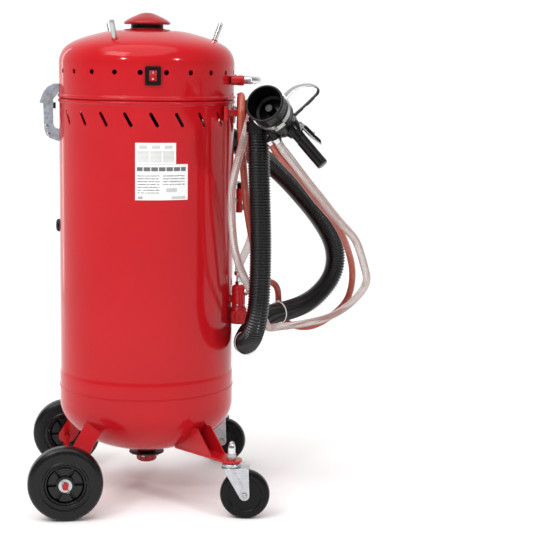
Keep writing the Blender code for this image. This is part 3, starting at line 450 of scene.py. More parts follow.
def rounded(profile, radius, steps=3):
    """PROFILE with each corner off the axis replaced by a short arc."""
    if radius <= 0:
        return profile
    points = [Vector((r, z, 0)) for r, z in profile]
    made = []
    for i, p in enumerate(points):
        a, b = points[i - 1], points[(i + 1) % len(points)]
        if p.x < 1e-9 or (a - p).length < 1e-9 or (b - p).length < 1e-9:
            made.append((p.x, p.y))
            continue
        u, v = (a - p).normalized(), (b - p).normalized()
        if u.dot(v) < -0.985:
            made.append((p.x, p.y))
            continue
        reach = min(radius, 0.42 * (a - p).length, 0.42 * (b - p).length)
        start, end = p + u * reach, p + v * reach
        for k in range(steps + 1):
            t = k / steps
            q = start * (1 - t) ** 2 + p * 2 * t * (1 - t) + end * t * t
            made.append((max(q.x, 0.0), q.y))
    return made


def both_faces(half):
    """HALF of a profile, and then its mirror image about height 0."""
    return half + [(radius, -height) for radius, height in reversed(half)]


def revolve(profile, origin=(0, 0, 0), axis=(0, 0, 1), segments=64, round_by=0.0008, wave=None, side=None):
    """A closed profile of (radius, height) turned about the axis; WAVE(angle, r, z) may change the radius."""
    bm = bmesh.new()
    rings = []
    for radius, height in rounded(profile, round_by):
        if radius < 1e-9:
            rings.append([bm.verts.new((0, 0, height))])
            continue
        ring = []
        for i in range(segments):
            a = math.tau * i / segments
            r = radius if wave is None else wave(a, radius, height)
            ring.append(bm.verts.new((r * math.cos(a), r * math.sin(a), height)))
        rings.append(ring)
    for a, b in zip(rings, rings[1:] + rings[:1]):
        for i in range(segments):
            j = (i + 1) % segments
            corners = list(dict.fromkeys([a[i % len(a)], a[j % len(a)], b[j % len(b)], b[i % len(b)]]))
            if len(corners) > 2:
                bm.faces.new(corners)
    mesh = to_mesh(bm)
    mesh.transform(turned(origin, axis, side))
    return mesh


def rod(start, end, radius, segments=32, round_by=0.0008, far=None):
    start, end = Vector(start), Vector(end)
    length = (end - start).length
    profile = [(0, 0), (radius, 0), (radius if far is None else far, length), (0, length)]
    return revolve(profile, start, end - start, segments, round_by)


def ring(start, end, outer, inner, segments=64, round_by=0.0006):
    start, end = Vector(start), Vector(end)
    length = (end - start).length
    profile = [(inner, 0), (outer, 0), (outer, length), (inner, length)]
    return revolve(profile, start, end - start, segments, round_by)


def hexagon(start, end, across):
    """A hexagonal nut with chamfered corners."""
    start, end = Vector(start), Vector(end)
    length = (end - start).length
    r = across / math.sqrt(3)
    profile = [
        (0, 0), (r * 0.93, 0), (r, length * 0.14), (r, length * 0.86), (r * 0.93, length), (0, length)
    ]

    def flats(a, radius, _):
        b = (a + math.pi / 6) % (math.pi / 3) - math.pi / 6
        return min(radius, across / 2 / math.cos(b))

    return revolve(profile, start, end - start, 48, 0.0, flats)


def plate(outline, thickness, origin=(0, 0, 0), normal=(0, -1, 0), side=(1, 0, 0)):
    bm = bmesh.new()
    low = [bm.verts.new((x, y, -thickness / 2)) for x, y in outline]
    high = [bm.verts.new((x, y, thickness / 2)) for x, y in outline]
    bm.faces.new(low)
    bm.faces.new(high)
    for i in range(len(outline)):
        j = (i + 1) % len(outline)
        bm.faces.new((low[i], low[j], high[j], high[i]))
    mesh = to_mesh(bm)
    mesh.transform(turned(origin, normal, side))
    return mesh


def block(low, high):
    low, high = Vector(low), Vector(high)
    outline = [(low.x, low.z), (high.x, low.z), (high.x, high.z), (low.x, high.z)]
    return plate(outline, high.y - low.y, (0, (low.y + high.y) / 2, 0))


def arc(centre, radius, start, end, steps):
    return [
        (
            centre[0] + radius * math.cos(math.radians(start + (end - start) * i / steps)),
            centre[1] + radius * math.sin(math.radians(start + (end - start) * i / steps)),
        )
        for i in range(steps + 1)
    ]


def polar(radius, degrees, z):
    a = math.radians(degrees)
    return Vector((radius * math.cos(a), radius * math.sin(a), z))


def smooth(route, step):
    """Points every STEP metres along a Catmull-Rom curve through ROUTE, and the curve's length."""
    ends = [2 * Vector(route[0]) - Vector(route[1])]
    ends += [Vector(p) for p in route]
    ends += [2 * Vector(route[-1]) - Vector(route[-2])]
    dense = []
    for a, b, c, d in zip(ends, ends[1:], ends[2:], ends[3:]):
        for k in range(40):
            t = k / 40
            dense.append(
                0.5 * (
                    2 * b + (c - a) * t + (
                        2 * a - 5 * b + 4 * c - d
                    ) * t**2 + (3 * b - a - 3 * c + d) * t**3
                )
            )
    dense.append(ends[-2])
    run = [0.0]
    for a, b in zip(dense, dense[1:]):
        run.append(run[-1] + (b - a).length)
    count = max(int(round(run[-1] / step)), 2)
    made = []
    k = 0
    for i in range(count + 1):
        want = run[-1] * i / count
        while k < len(run) - 2 and run[k + 1] < want:
            k += 1
        made.append(dense[k].lerp(dense[k + 1], (want - run[k]) / max(run[k + 1] - run[k], 1e-12)))
    return made, run[-1]


def relaxed(route, passes):
    """The route again, every 4 mm, with its small kinks eased out and its two ends left alone."""
    points, _ = smooth(route, 0.004)
    for _ in range(passes):
        middle = [(a + 2 * b + c) / 4 for a, b, c in zip(points, points[1:], points[2:])]
        points = [points[0]] + [
            b if 6 <= i < len(points) - 8 else points[i + 1] for i, b in enumerate(middle)
        ] + [points[-1]]
    return points


def frames_of(points, side=None):
    made = []
    before = side
    for i, p in enumerate(points):
        forward = (points[min(i + 1, len(points) - 1)] - points[max(i - 1, 0)]).normalized()
        u = Vector(before) if before is not None else forward.orthogonal()
        u = (u - forward * u.dot(forward)).normalized()
        before = u
        made.append((p, u, forward.cross(u)))
    return made


def tube(points, radius, segments=24, flat=1.0, side=None, closed_ends=True):
    """A tube along POINTS; RADIUS is a number or a function of (distance, angle)."""
    bm = bmesh.new()
    run = 0.0
    rings = []
    points = [Vector(p) for p in points]
    for i, (p, u, v) in enumerate(frames_of(points, side)):
        if i:
            run += (points[i] - points[i - 1]).length
        row = []
        for k in range(segments):
            a = math.tau * k / segments
            r = radius(run, a) if callable(radius) else radius
            row.append(bm.verts.new(p + u * r * math.cos(a) + v * r * flat * math.sin(a)))
        rings.append(row)
    for a, b in zip(rings, rings[1:]):
        for k in range(segments):
            m = (k + 1) % segments
            bm.faces.new((a[k], a[m], b[m], b[k]))
    if closed_ends:
        bm.faces.new(rings[0])
        bm.faces.new(rings[-1])
    return to_mesh(bm)


def merged(meshes):
    bm = bmesh.new()
    for mesh in meshes:
        bm.from_mesh(mesh)
    made = bpy.data.meshes.new("shape")
    bm.to_mesh(made)
    bm.free()
    return made


def put(name, mesh, finish, body="frame", nodes=(), sharp=32.0, bevel=0.0, cutters=()):
    """One shown piece, riding on BODY and standing for NODES."""
    mesh.transform(SHIFT)
    obj = bpy.data.objects.new(name, mesh)
    bpy.context.scene.collection.objects.link(obj)
    for index, cutter in enumerate(cutters):
        cutter.transform(SHIFT)
        tool = bpy.data.objects.new("%s_tool_%d" % (name, index), cutter)
        bpy.context.scene.collection.objects.link(tool)
        step = obj.modifiers.new("cut", "BOOLEAN")
        step.operation = "DIFFERENCE"
        step.solver = "EXACT"
        step.object = tool
        graph = bpy.context.evaluated_depsgraph_get()
        done = bpy.data.meshes.new_from_object(obj.evaluated_get(graph))
        obj.modifiers.clear()
        obj.data = done
        bpy.data.objects.remove(tool)
    obj.data.name = name
    for polygon in obj.data.polygons:
        polygon.use_smooth = True
    obj.data.set_sharp_from_angle(angle=math.radians(sharp))
    if bevel:
        step = obj.modifiers.new("edges", "BEVEL")
        step.width = bevel
        step.segments = 2
        step.limit_method = "ANGLE"
        step.angle_limit = math.radians(32)
        obj.modifiers.new("shading", "WEIGHTED_NORMAL").keep_sharp = False
    obj.data.materials.clear()
    obj.data.materials.append(finish)
    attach(obj, body)
    if nodes:
        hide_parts(*nodes)
    return obj


def true_round(obj, radius, low, high):
    """Gives a cut cylinder wall the normals of the round it came from, so the cuts leave no streaks."""
    mesh = obj.data
    normals = [(0.0, 0.0, 0.0)] * len(mesh.loops)
    for polygon in mesh.polygons:
        middle = polygon.center - AXIS
        away = Vector((middle.x, middle.y, 0)).normalized()
        if low < middle.z < high and polygon.normal.dot(away) > 0.97:
            for index in polygon.loop_indices:
                spot = mesh.vertices[mesh.loops[index].vertex_index].co - AXIS
                if abs(math.hypot(spot.x, spot.y) - radius) < 0.0006:
                    normals[index] = tuple(Vector((spot.x, spot.y, 0)).normalized())
    mesh.normals_split_custom_set(normals)


def dress(node, finish, bevel=0.0006):
    """A CAD node that keeps its shape: a better finish and broken edges."""
    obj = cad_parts[node]
    for place in obj.material_slots:
        place.material = finish
    if not obj.material_slots:
        obj.data.materials.append(finish)
    if bevel:
        step = obj.modifiers.new("edges", "BEVEL")
        step.width = bevel
        step.segments = 2
        step.limit_method = "ANGLE"
        step.angle_limit = math.radians(34)


# ---------------------------------------------------------------- drum, head and lid
R = 0.18
SKIN = 0.0025
HOLES = 22
SEAM = 0.83
WELD = 0.2331
HEAD_R = 0.1815
HEAD_Z, HEAD_DEPTH, HEAD_SKIN = 0.198, 0.103, 0.003
FIRST_SLOT, SLOT_HALF_WIDTH = -90.8, 0.0034
SLOT_TOP = (0.6, 0.8045)  # degrees past the slot's own bearing, height
SLOT_FOOT = (4.6, 0.7825)
FIRST_VENT, VENT_Z, VENT_R = -80.5, 0.8855, 0.0052
PIN_CIRCLE, PIN_FOOT_Z, PIN_LEAN = 0.138, 0.948, math.radians(20)


def slot_tool(index):
    first = FIRST_SLOT + index * 360 / HOLES
    high = polar(R, first + SLOT_TOP[0], SLOT_TOP[1])
    low = polar(R, first + SLOT_FOOT[0], SLOT_FOOT[1])
    out = polar(1.0, first + (SLOT_TOP[0] + SLOT_FOOT[0]) / 2, 0.0)
    half = (low - high).length / 2
    outline = arc((half, 0), SLOT_HALF_WIDTH, -90, 90, 8)
    outline += arc((-half, 0), SLOT_HALF_WIDTH, 90, 270, 8)
    return plate(outline, 0.024, (high + low) / 2, out, low - high)


drum_profile = [
    (HEAD_R, WELD + 0.0004),
    (HEAD_R, 0.26),
    (HEAD_R - 0.0004, 0.2625),
    (R + 0.0004, 0.266),
    (R, 0.2685),
    (R, 0.4),
    (R, 0.54),
    (R, 0.68),
    (R, 0.73),
    (R, 0.776),
    (R, 0.811),
    (R, 0.8195),
    *arc((R - 0.001, 0.8256), 0.004, -60, 60, 10),
    (R - 0.0002, SEAM - 0.0003),
    (R - SKIN, SEAM - 0.0003),
    (R - SKIN, WELD + 0.0003),
]
inlet_out = polar(1.0, 24.0, 0.0)
drum = put(
    "drum_wall",
    revolve(drum_profile, segments=FINE, round_by=0.0),
    RED,
    "frame",
    ["drum_shell"],
    cutters=[
        merged([slot_tool(i) for i in range(HOLES)]),
        rod(inlet_out * 0.16 + UP * 0.745, inlet_out * 0.195 + UP * 0.745, 0.019, 48, 0.0),
    ],
)
true_round(drum, R, 0.269, 0.819)
put("deck_seat", ring((0, 0, 0.77), (0, 0, 0.7742), 0.1772, 0.15, 96), ZINC)
head = [(HEAD_R, WELD - 0.0003)]
head += [
    (HEAD_R * math.cos(a), HEAD_Z - HEAD_DEPTH * math.sin(a))
    for a in [math.pi / 2 * i / 28 for i in range(28)]
]
head = [p for p in head if p[0] > 0.0125]
inside = [
    ((HEAD_R - HEAD_SKIN) * math.cos(a), HEAD_Z - (HEAD_DEPTH - HEAD_SKIN) * math.sin(a))
    for a in [math.pi / 2 * i / 28 for i in range(28)]
]
inside = [p for p in inside if p[0] > 0.0125]
head += [(0.0125, 0.0953), (0.0125, 0.0983)] + inside[::-1] + [(HEAD_R - HEAD_SKIN, WELD - 0.0003)]
put("dished_head", revolve(head, segments=FINE, round_by=0.0), RED, "frame", ["lower_head"])
bead = [
    (HEAD_R - 0.0008, WELD - 0.0017),
    (HEAD_R + 0.0008, WELD - 0.0009),
    (HEAD_R + 0.0011, WELD),
    (HEAD_R + 0.0008, WELD + 0.0009),
    (HEAD_R - 0.0008, WELD + 0.0017),
]


def ripple(a, radius, _):
    return radius + 0.00022 * math.sin(a * 150) * (radius > HEAD_R)


put("weld_bead", revolve(bead, segments=600, round_by=0.0, wave=ripple), RED)

crown_line = [
    (0.18, 0, 0.899), (0.1796, 0, 0.908), (0.1772, 0, 0.9175), (0.1722, 0, 0.9275),
    (0.1636, 0, 0.9368), (0.15, 0, 0.9452), (0.13, 0, 0.9532), (0.106, 0, 0.9603),
    (0.082, 0, 0.9662), (0.064, 0, 0.9686), (0.046, 0, 0.969),
]
crown = [(p.x, p.z) for p in smooth(crown_line, 0.004)[0]][1:]
lid_profile = [
    (R - SKIN, SEAM + 0.0004),
    (R + 0.0002, SEAM + 0.0004),
    *arc((R - 0.001, 0.8346), 0.0041, -62, 62, 10),
    (R, 0.84),
    (R, 0.899),
    *[(x, z) for x, z in crown if x > 0.047],
    (0.047, 0.969), (0.02, 0.969), (0.02, 0.9665),
    *[(x - 0.0022, z - 0.0025) for x, z in reversed(crown) if x > 0.047],
    (R - SKIN, 0.899),
]
vents = []
for i in range(HOLES):
    bearing = FIRST_VENT + i * 360 / HOLES
    vents.append(rod(polar(R - 0.012, bearing, VENT_Z), polar(R + 0.012, bearing, VENT_Z), VENT_R, 28, 0.0))
switch_out = polar(1.0, -89.0, 0.0)
switch_across = UP.cross(switch_out)
SWITCH_Z = 0.8793


def switch_block(half_wide, half_tall, inner, outer, corner=0.0):
    outline = []
    for x, y, a in ((1, 1, 0), (-1, 1, 90), (-1, -1, 180), (1, -1, 270)):
        outline += arc(
            (x * (half_wide - corner), y * (half_tall - corner)), max(corner, 1e-5), a, a + 90, 5
        )
    middle = switch_out * (inner + outer) / 2 + UP * SWITCH_Z
    return plate(outline, outer - inner, middle, switch_out, switch_across)


lid = put(
    "lid_dome",
    revolve(lid_profile, segments=FINE, round_by=0.0),
    RED,
    "lid",
    ["lid_shell"],
    cutters=[merged(vents), switch_block(0.0113, 0.0153, 0.165, 0.19)],
)
true_round(lid, R, 0.8405, 0.8985)
put("lid_seal", ring((0, 0, 0.8283), (0, 0, 0.83), 0.1792, 0.1745, FINE, 0.0003), DARK, "frame")
bezel = switch_block(0.0155, 0.0183, R + 0.0003, R + 0.0045, 0.0022)
well = switch_block(0.0079, 0.0113, 0.1705, 0.19, 0.0008)
put("switch_frame", bezel, BLACK, "lid", ["switch_bezel"], bevel=0.0007, cutters=[well])
put("switch_box", switch_block(0.011, 0.015, 0.158, 0.1702), BLACK, "lid", bevel=0.0005)
put(
    "switch_lining",
    switch_block(0.011, 0.015, 0.1702, R + 0.001),
    DARK,
    "lid",
    cutters=[switch_block(0.00795, 0.0114, 0.168, 0.19)],
)
dress("switch_rocker", RED_GLOSS, 0.0005)
rocker_at = switch_out * (R + 0.0015) + UP * SWITCH_Z
for name, z, width, tall in (
    ("rocker_mark_on", 0.0062, 0.001, 0.0042), ("rocker_mark_off", -0.006, 0.0038, 0.0038)
):
    lift = 0.0026 + 0.0004 if z > 0 else 0.0017 + 0.0003
    tilt = switch_out - UP * (0.33 if z > 0 else -0.17)
    start = rocker_at + UP * z + switch_out * (lift + 0.0003)
    if z > 0:
        mark = plate(
            [
                (-width / 2, -tall / 2),
                (width / 2, -tall / 2),
                (width / 2, tall / 2),
                (-width / 2, tall / 2),
            ],
            0.0004,
            start,
            tilt,
            switch_across,
        )
    else:
        mark = ring(
            start - tilt.normalized() * 0.0002,
            start + tilt.normalized() * 0.0002,
            width / 2,
            width / 2 - 0.0007,
            28,
            0.0,
        )
    put(name, mark, TIE, "rocker")

# Exhaust: flange, perforated collar and mushroom cap.
cap_profile = [
    (0, 0.9808), (0.0425, 0.9808),
    *arc((0.045, 0.9838), 0.003, -90, 60, 8),
    (0.042, 0.9898), (0.036, 0.9934), (0.03, 0.9962), (0.024, 0.9988), (0.017, 1.0018),
    (0.011, 1.004), (0.005, 1.0049), (0, 1.005),
]
put(
    "cap_dome",
    revolve(cap_profile, segments=96, round_by=0.0),
    RED_GLOSS,
    "lid",
    ["exhaust_cap"],
)
neck = [
    (0.019, 0.9668), (0.0197, 0.9668), (0.0197, 0.9694), (0.047, 0.9694), (0.048, 0.9708),
    (0.0355, 0.972), (0.0355, 0.973), (0.019, 0.973),
]
put(
    "neck_flange",
    revolve(neck, segments=96, round_by=0.0005),
    RED_GLOSS,
    "lid",
    ["exhaust_neck"],
)


def pierced(a, radius, height):
    if radius < 0.031:
        return radius
    row = int((height - 0.9722) / 0.0021)
    return radius - 0.0022 * (math.sin(a * 40 + row * math.pi) > 0.25) * (0.973 < height < 0.98)


collar = [(0.0295, 0.9722), (0.033, 0.9722)]
for i in range(16):
    collar.append((0.033, 0.9727 + i * 0.0005))
collar += [(0.033, 0.9806), (0.0295, 0.9806)]
put("neck_collar", revolve(collar, segments=320, round_by=0.0, wave=pierced), BLACK, "lid", sharp=20)

for index, bearing in enumerate((0.0, 120.0, -120.0)):
    lean = polar(math.sin(PIN_LEAN), bearing, math.cos(PIN_LEAN))
    foot = polar(PIN_CIRCLE, bearing, PIN_FOOT_Z)
    pin = [
        (0, 0), (0.0052, 0), (0.0052, 0.036), (0.0048, 0.0386), (0.0036, 0.0404), (0.0018, 0.0412),
        (0, 0.0414),
    ]
    name = "lid_pin_%d" % (index + 1)
    put(name + "_rod", revolve(pin, foot, lean, 32, 0.0), PIN, "lid", [name])
    fillet = [(0, 0), (0.0082, 0), (0.007, 0.0036), (0.0056, 0.0052), (0, 0.0052)]
    put(name + "_foot", revolve(fillet, foot - lean * 0.0006, lean, 40, 0.0006), RED, "lid")

# Lid handle: red sockets and a chromed bow.
HANDLE_Z, HANDLE_Y, HANDLE_X, BEND = 0.8705, 0.074, 0.2225, 0.022
bow = [(0.1843, -HANDLE_Y), (0.193, -HANDLE_Y)]
bow += arc((HANDLE_X - BEND, -HANDLE_Y + BEND), BEND, -90, 0, 14)
bow += arc((HANDLE_X - BEND, HANDLE_Y - BEND), BEND, 0, 90, 14)
bow += [(0.193, HANDLE_Y), (0.1843, HANDLE_Y)]
put(
    "handle_bow",
    tube([(x, y, HANDLE_Z) for x, y in bow], 0.0078, 32),
    CHROME,
    "lid",
    ["lid_handle"],
)
for word, sign in (("near", -1), ("far", 1)):
    socket = [
        (0, 0), (0.0092, 0), (0.0098, 0.012), (0.0104, 0.018), (0.0104, 0.0245), (0.0092, 0.027), (0, 0.027)
    ]
    put(
        "handle_socket_" + word,
        revolve(socket, (0.166, sign * HANDLE_Y, HANDLE_Z), (1, 0, 0), 48, 0.0008),
        RED_PART,
        "lid",
    )

# Inside: seen only through the vents and with the lid open.
dress("motor_deck", ZINC, 0.0008)
dress("suction_motor", BLACK, 0.001)
dress("hopper_cone", ZINC, 0.0)


def pleats(a, radius, height):
    return radius - (
        0.0035 * (0.5 + 0.5 * math.sin(a * 48)) if 0.626 < height < 0.764 and radius > 0.06 else 0.0
    )


element = [
    (0, 0.62), (0.06, 0.62), (0.062, 0.624), (0.062, 0.63), (0.062, 0.76), (0.062, 0.766),
    (0.068, 0.768), (0.068, 0.7742), (0, 0.7742),
]
put(
    "filter_pleats",
    revolve(element, segments=384, round_by=0.0, wave=pleats),
    MEDIA,
    "lid",
    ["filter_cartridge"],
)

# Hinge and latch.
for node in ("hinge_arm", "hinge_base", "latch_base"):
    dress(node, ZINC, 0.0009)
dress("hinge_bumper", RUBBER, 0.0012)
dress("latch_lever", BLACK, 0.001)
HINGE = (-0.2023, 0.8305)
put(
    "hinge_pin",
    rod((HINGE[0], -0.0163, HINGE[1]), (HINGE[0], 0.0163, HINGE[1]), 0.004),
    STEEL,
    "frame",
    ["hinge_bolt"],
)
put("hinge_pin_head", hexagon((HINGE[0], -0.0163, HINGE[1]), (HINGE[0], -0.0214, HINGE[1]), 0.013), STEEL)
put("hinge_pin_nut", hexagon((HINGE[0], 0.0163, HINGE[1]), (HINGE[0], 0.0214, HINGE[1]), 0.013), STEEL)
for index, z in enumerate((0.756, 0.772)):
    put(
        "hinge_rivet_%d" % index,
        revolve(
            [(0, 0), (0.0046, 0), (0.004, 0.0018), (0.002, 0.0026), (0, 0.0028)],
            (-0.202 - 0.004 * index, -0.0121, z),
            (0, -1, 0),
            28,
            0.0,
        ),
        STEEL,
    )
latch_out = polar(1.0, -7.0, 0.0)
hook = [
    (0.1955, 0.796), (0.1957, 0.805), (0.1957, 0.815), (0.1957, 0.833), (0.1952, 0.8372),
    (0.1935, 0.8403), (0.1905, 0.8418), (0.1876, 0.8413), (0.1865, 0.8397),
]
points, _ = smooth([latch_out * r + UP * z for r, z in hook], 0.0012)
put("hook_wire", tube(points, 0.0022, 20), CHROME, "latch_hook", ["latch_hook"])

# ---------------------------------------------------------------- fittings on the drum
INLET_Z, TURN, BEND_R = 0.745, 34.0, 0.03
elbow = [inlet_out * 0.181 + UP * INLET_Z, inlet_out * 0.192 + UP * INLET_Z]
for i in range(1, 15):
    a = math.radians(TURN * i / 14)
    elbow.append(inlet_out * (0.192 + BEND_R * math.sin(a)) + UP * (INLET_Z - BEND_R * (1 - math.cos(a))))
down = inlet_out * math.cos(math.radians(TURN)) - UP * math.sin(math.radians(TURN))
elbow.append(elbow[-1] + down * 0.022)
INLET_END = elbow[-1]
put("inlet_elbow", tube(elbow, 0.0232, 48), BLACK, "frame", ["hose_inlet"])
# A dark disc across the elbow's mouth: painted shade standing for the inside of the bore.
put("inlet_bore_painted_shade", rod(INLET_END - down * 0.004, INLET_END + down * 0.0003, 0.019, 40, 0.0), DARK)
flange = [(0, 0), (0.03, 0), (0.03, 0.0032), (0.0255, 0.0048), (0.024, 0.008), (0, 0.008)]
put("inlet_flange", revolve(flange, inlet_out * 0.1806 + UP * INLET_Z, inlet_out, 64, 0.0008), BLACK)
dress("rating_label", LABEL, 0.0)
plug_out = polar(1.0, 176.0, 0.0)
plug = [
    (0, 0), (0.0135, 0), (0.0135, 0.0022), (0.0124, 0.0052), (0.0095, 0.0068), (0.005, 0.0074), (0, 0.0075)
]
put(
    "plug_button",
    revolve(plug, plug_out * (R + 0.0008) + UP * 0.566, plug_out, 48, 0.0005),
    BLACK,
    "frame",
    ["side_plug"],
)

VALVE = Vector((0.187, -0.066, 0.0))
toward = VALVE.normalized()
body = [
    (0, 0.3985), (0.0172, 0.3985), (0.0172, 0.401), (0.014, 0.4045), (0.014, 0.433),
    (0.0147, 0.434), (0.0147, 0.4375), (0.014, 0.4385), (0.014, 0.443), (0.0125, 0.448),
    (0.009, 0.4505), (0, 0.4505),
]
put(
    "valve_body",
    revolve(body, VALVE, segments=64, round_by=0.0009),
    RED_PART,
    "frame",
    ["mixing_valve"],
)
put("valve_neck", rod(toward * 0.1806 + UP * 0.42, toward * 0.194 + UP * 0.42, 0.0075), RED_PART)
put(
    "valve_weld",
    revolve(
        [(0, 0), (0.0104, 0), (0.0082, 0.0026), (0, 0.0026)],
        toward * 0.1804 + UP * 0.42,
        toward,
        40,
        0.0008,
    ),
    RED_PART,
)
port_out = Vector((0.0205, -0.007, 0)).normalized()
FEED_PORT = VALVE + port_out * 0.0217 + UP * 0.436
put("valve_port", rod(VALVE + UP * 0.436, FEED_PORT, 0.0052), STEEL)
put(
    "valve_port_nut",
    hexagon(VALVE + port_out * 0.0138 + UP * 0.436, VALVE + port_out * 0.0188 + UP * 0.436, 0.0135),
    STEEL,
)
for index, side in enumerate((-1, 1)):
    direction = (Vector((0.25, -1, 0)) + Vector((1, 0.25, 0)) * 0.55 * side).normalized()
    start = VALVE + direction * 0.0132 + UP * 0.41
    put(
        "valve_screw_%d" % index,
        revolve(
            [(0, 0), (0.0022, 0), (0.0022, 0.0026), (0.0014, 0.0032), (0, 0.003)],
            start,
            direction,
            20,
            0.0002,
        ),
        STEEL,
    )


def knurl(a, radius, height):
    return radius + (0.0005 * math.sin(a * 36) if 0.3745 < height < 0.3945 and radius > 0.0165 else 0.0)


sleeve = [
    (0, 0.369), (0.0135, 0.369), (0.016, 0.3705), (0.0169, 0.373), (0.0169, 0.375),
    (0.0169, 0.385), (0.0169, 0.394), (0.0169, 0.3962), (0.0158, 0.3981), (0, 0.3981),
]
put(
    "sleeve_knob",
    revolve(sleeve, VALVE, segments=216, round_by=0.0, wave=knurl),
    RED_PART,
    "sleeve",
    ["mixing_sleeve"],
)
put(
    "valve_nut",
    hexagon(VALVE + UP * 0.4507, VALVE + UP * 0.4575, 0.0134),
    CHROME,
    "frame",
    ["valve_fitting"],
)
put("valve_barb", rod(VALVE + UP * 0.457, VALVE + UP * 0.4685, 0.005), CHROME)

AIR = Vector((0.1935, 0.0, 0.0))
regulator = [
    (0, 0.594), (0.006, 0.594), (0.0068, 0.5952), (0.0068, 0.612), (0.0062, 0.6128),
    (0.0062, 0.614), (0.0068, 0.6148), (0.0068, 0.643), (0.0058, 0.6445), (0, 0.6445),
]
put(
    "air_body",
    revolve(regulator, AIR, segments=48, round_by=0.0004),
    RED_PART,
    "frame",
    ["air_valve"],
)
put("air_neck", rod((0.1804, 0, 0.62), (0.1935, 0, 0.62), 0.0052), STEEL)
put("air_port", rod((0.1935, 0, 0.606), (0.2062, 0, 0.606), 0.005), STEEL)
put("air_port_nut", hexagon((0.1995, 0, 0.606), (0.2045, 0, 0.606), 0.0128), STEEL)
dress("air_tap", BLACK, 0.0008)
outlet_out = polar(1.0, 42.0, 0.0)
OUTLET = outlet_out * 0.205 + UP * 0.39
put(
    "outlet_barb",
    rod(outlet_out * 0.1806 + UP * 0.39, OUTLET, 0.0056),
    STEEL,
    "frame",
    ["air_outlet"],
)
put("outlet_nut", hexagon(outlet_out * 0.1806 + UP * 0.39, outlet_out * 0.19 + UP * 0.39, 0.0178), STEEL)

# Hose saddle.
HANGER = Vector((0.215, -0.105, 0.8))
saddle = arc((0, 0), 0.033, 200, -20, 40) + arc((0, 0), 0.03, -20, 200, 40)
put(
    "hanger_saddle",
    plate(saddle, 0.043, HANGER, (1, 0, 0), (0, 1, 0)),
    RED_PART,
    "frame",
    ["hose_hanger"],
    bevel=0.0008,
)
web = [
    (-0.0305, -0.006), (0.0305, -0.006), (0.0305, 0.004)
] + arc((0, 0), 0.0308, 8, 172, 20) + [(-0.0305, 0.004)]
put(
    "hanger_web",
    plate(web, 0.004, HANGER - Vector((0.015, 0, 0)), (1, 0, 0), (0, 1, 0)),
    RED_PART,
    bevel=0.0008,
)
put("hanger_arm", block((0.148, -0.109, 0.8), (0.202, -0.105, 0.812)), RED_PART, bevel=0.001)
put("hanger_foot", block((0.148, -0.121, 0.79), (0.156, -0.093, 0.82)), RED_PART, bevel=0.001)

# ---------------------------------------------------------------- drain
drain = [
    (0.0085, 0.0806), (0.035, 0.0806), (0.037, 0.0815), (0.037, 0.0838), (0.035, 0.0846),
    (0.0205, 0.0852), (0.019, 0.0865), (0.019, 0.0945), (0.0085, 0.0945),
]
put(
    "drain_ring",
    revolve(drain, segments=64, round_by=0.0004),
    surface("dark_flange", (0.06, 0.028, 0.026), 0.45, metallic=0.5),
    "frame",
    ["drain_flange"],
)
for i in range(6):
    spot = polar(0.03, 15 + i * 60, 0.0806)
    put("drain_screw_%d" % i, hexagon(spot, spot - UP * 0.0028, 0.0062), STEEL)


def lobes(a, radius, height):
    return radius + (0.001 * math.cos(a * 12) - 0.0006 if radius > 0.0195 else 0.0)


stopper = [
    (0, 0.0617), (0.013, 0.062), (0.018, 0.064), (0.021, 0.0672), (0.0216, 0.07), (0.0216, 0.079),
    (0.0208, 0.0802), (0.008, 0.0802), (0.008, 0.09), (0, 0.09),
]
put(
    "cap_stopper",
    revolve(stopper, segments=144, round_by=0.0004, wave=lobes),
    RED_GLOSS,
    "cap",
    ["drain_cap"],
)

# ---------------------------------------------------------------- wheels
WHEEL_R, WHEEL_X, WHEEL_Y = 0.075, -0.17, 0.2085
for word in ("near", "far"):
    dress("wheel_bracket_" + word, RED_PART, 0.0008)
    dress("caster_bracket_" + word, RED_PART, 0.0008)
AXLE_END = 0.24
put(
    "axle_bar",
    rod((WHEEL_X, -AXLE_END, WHEEL_R), (WHEEL_X, AXLE_END, WHEEL_R), 0.006, 40, 0.0012),
    RED_PART,
    "frame",
    ["axle"],
)

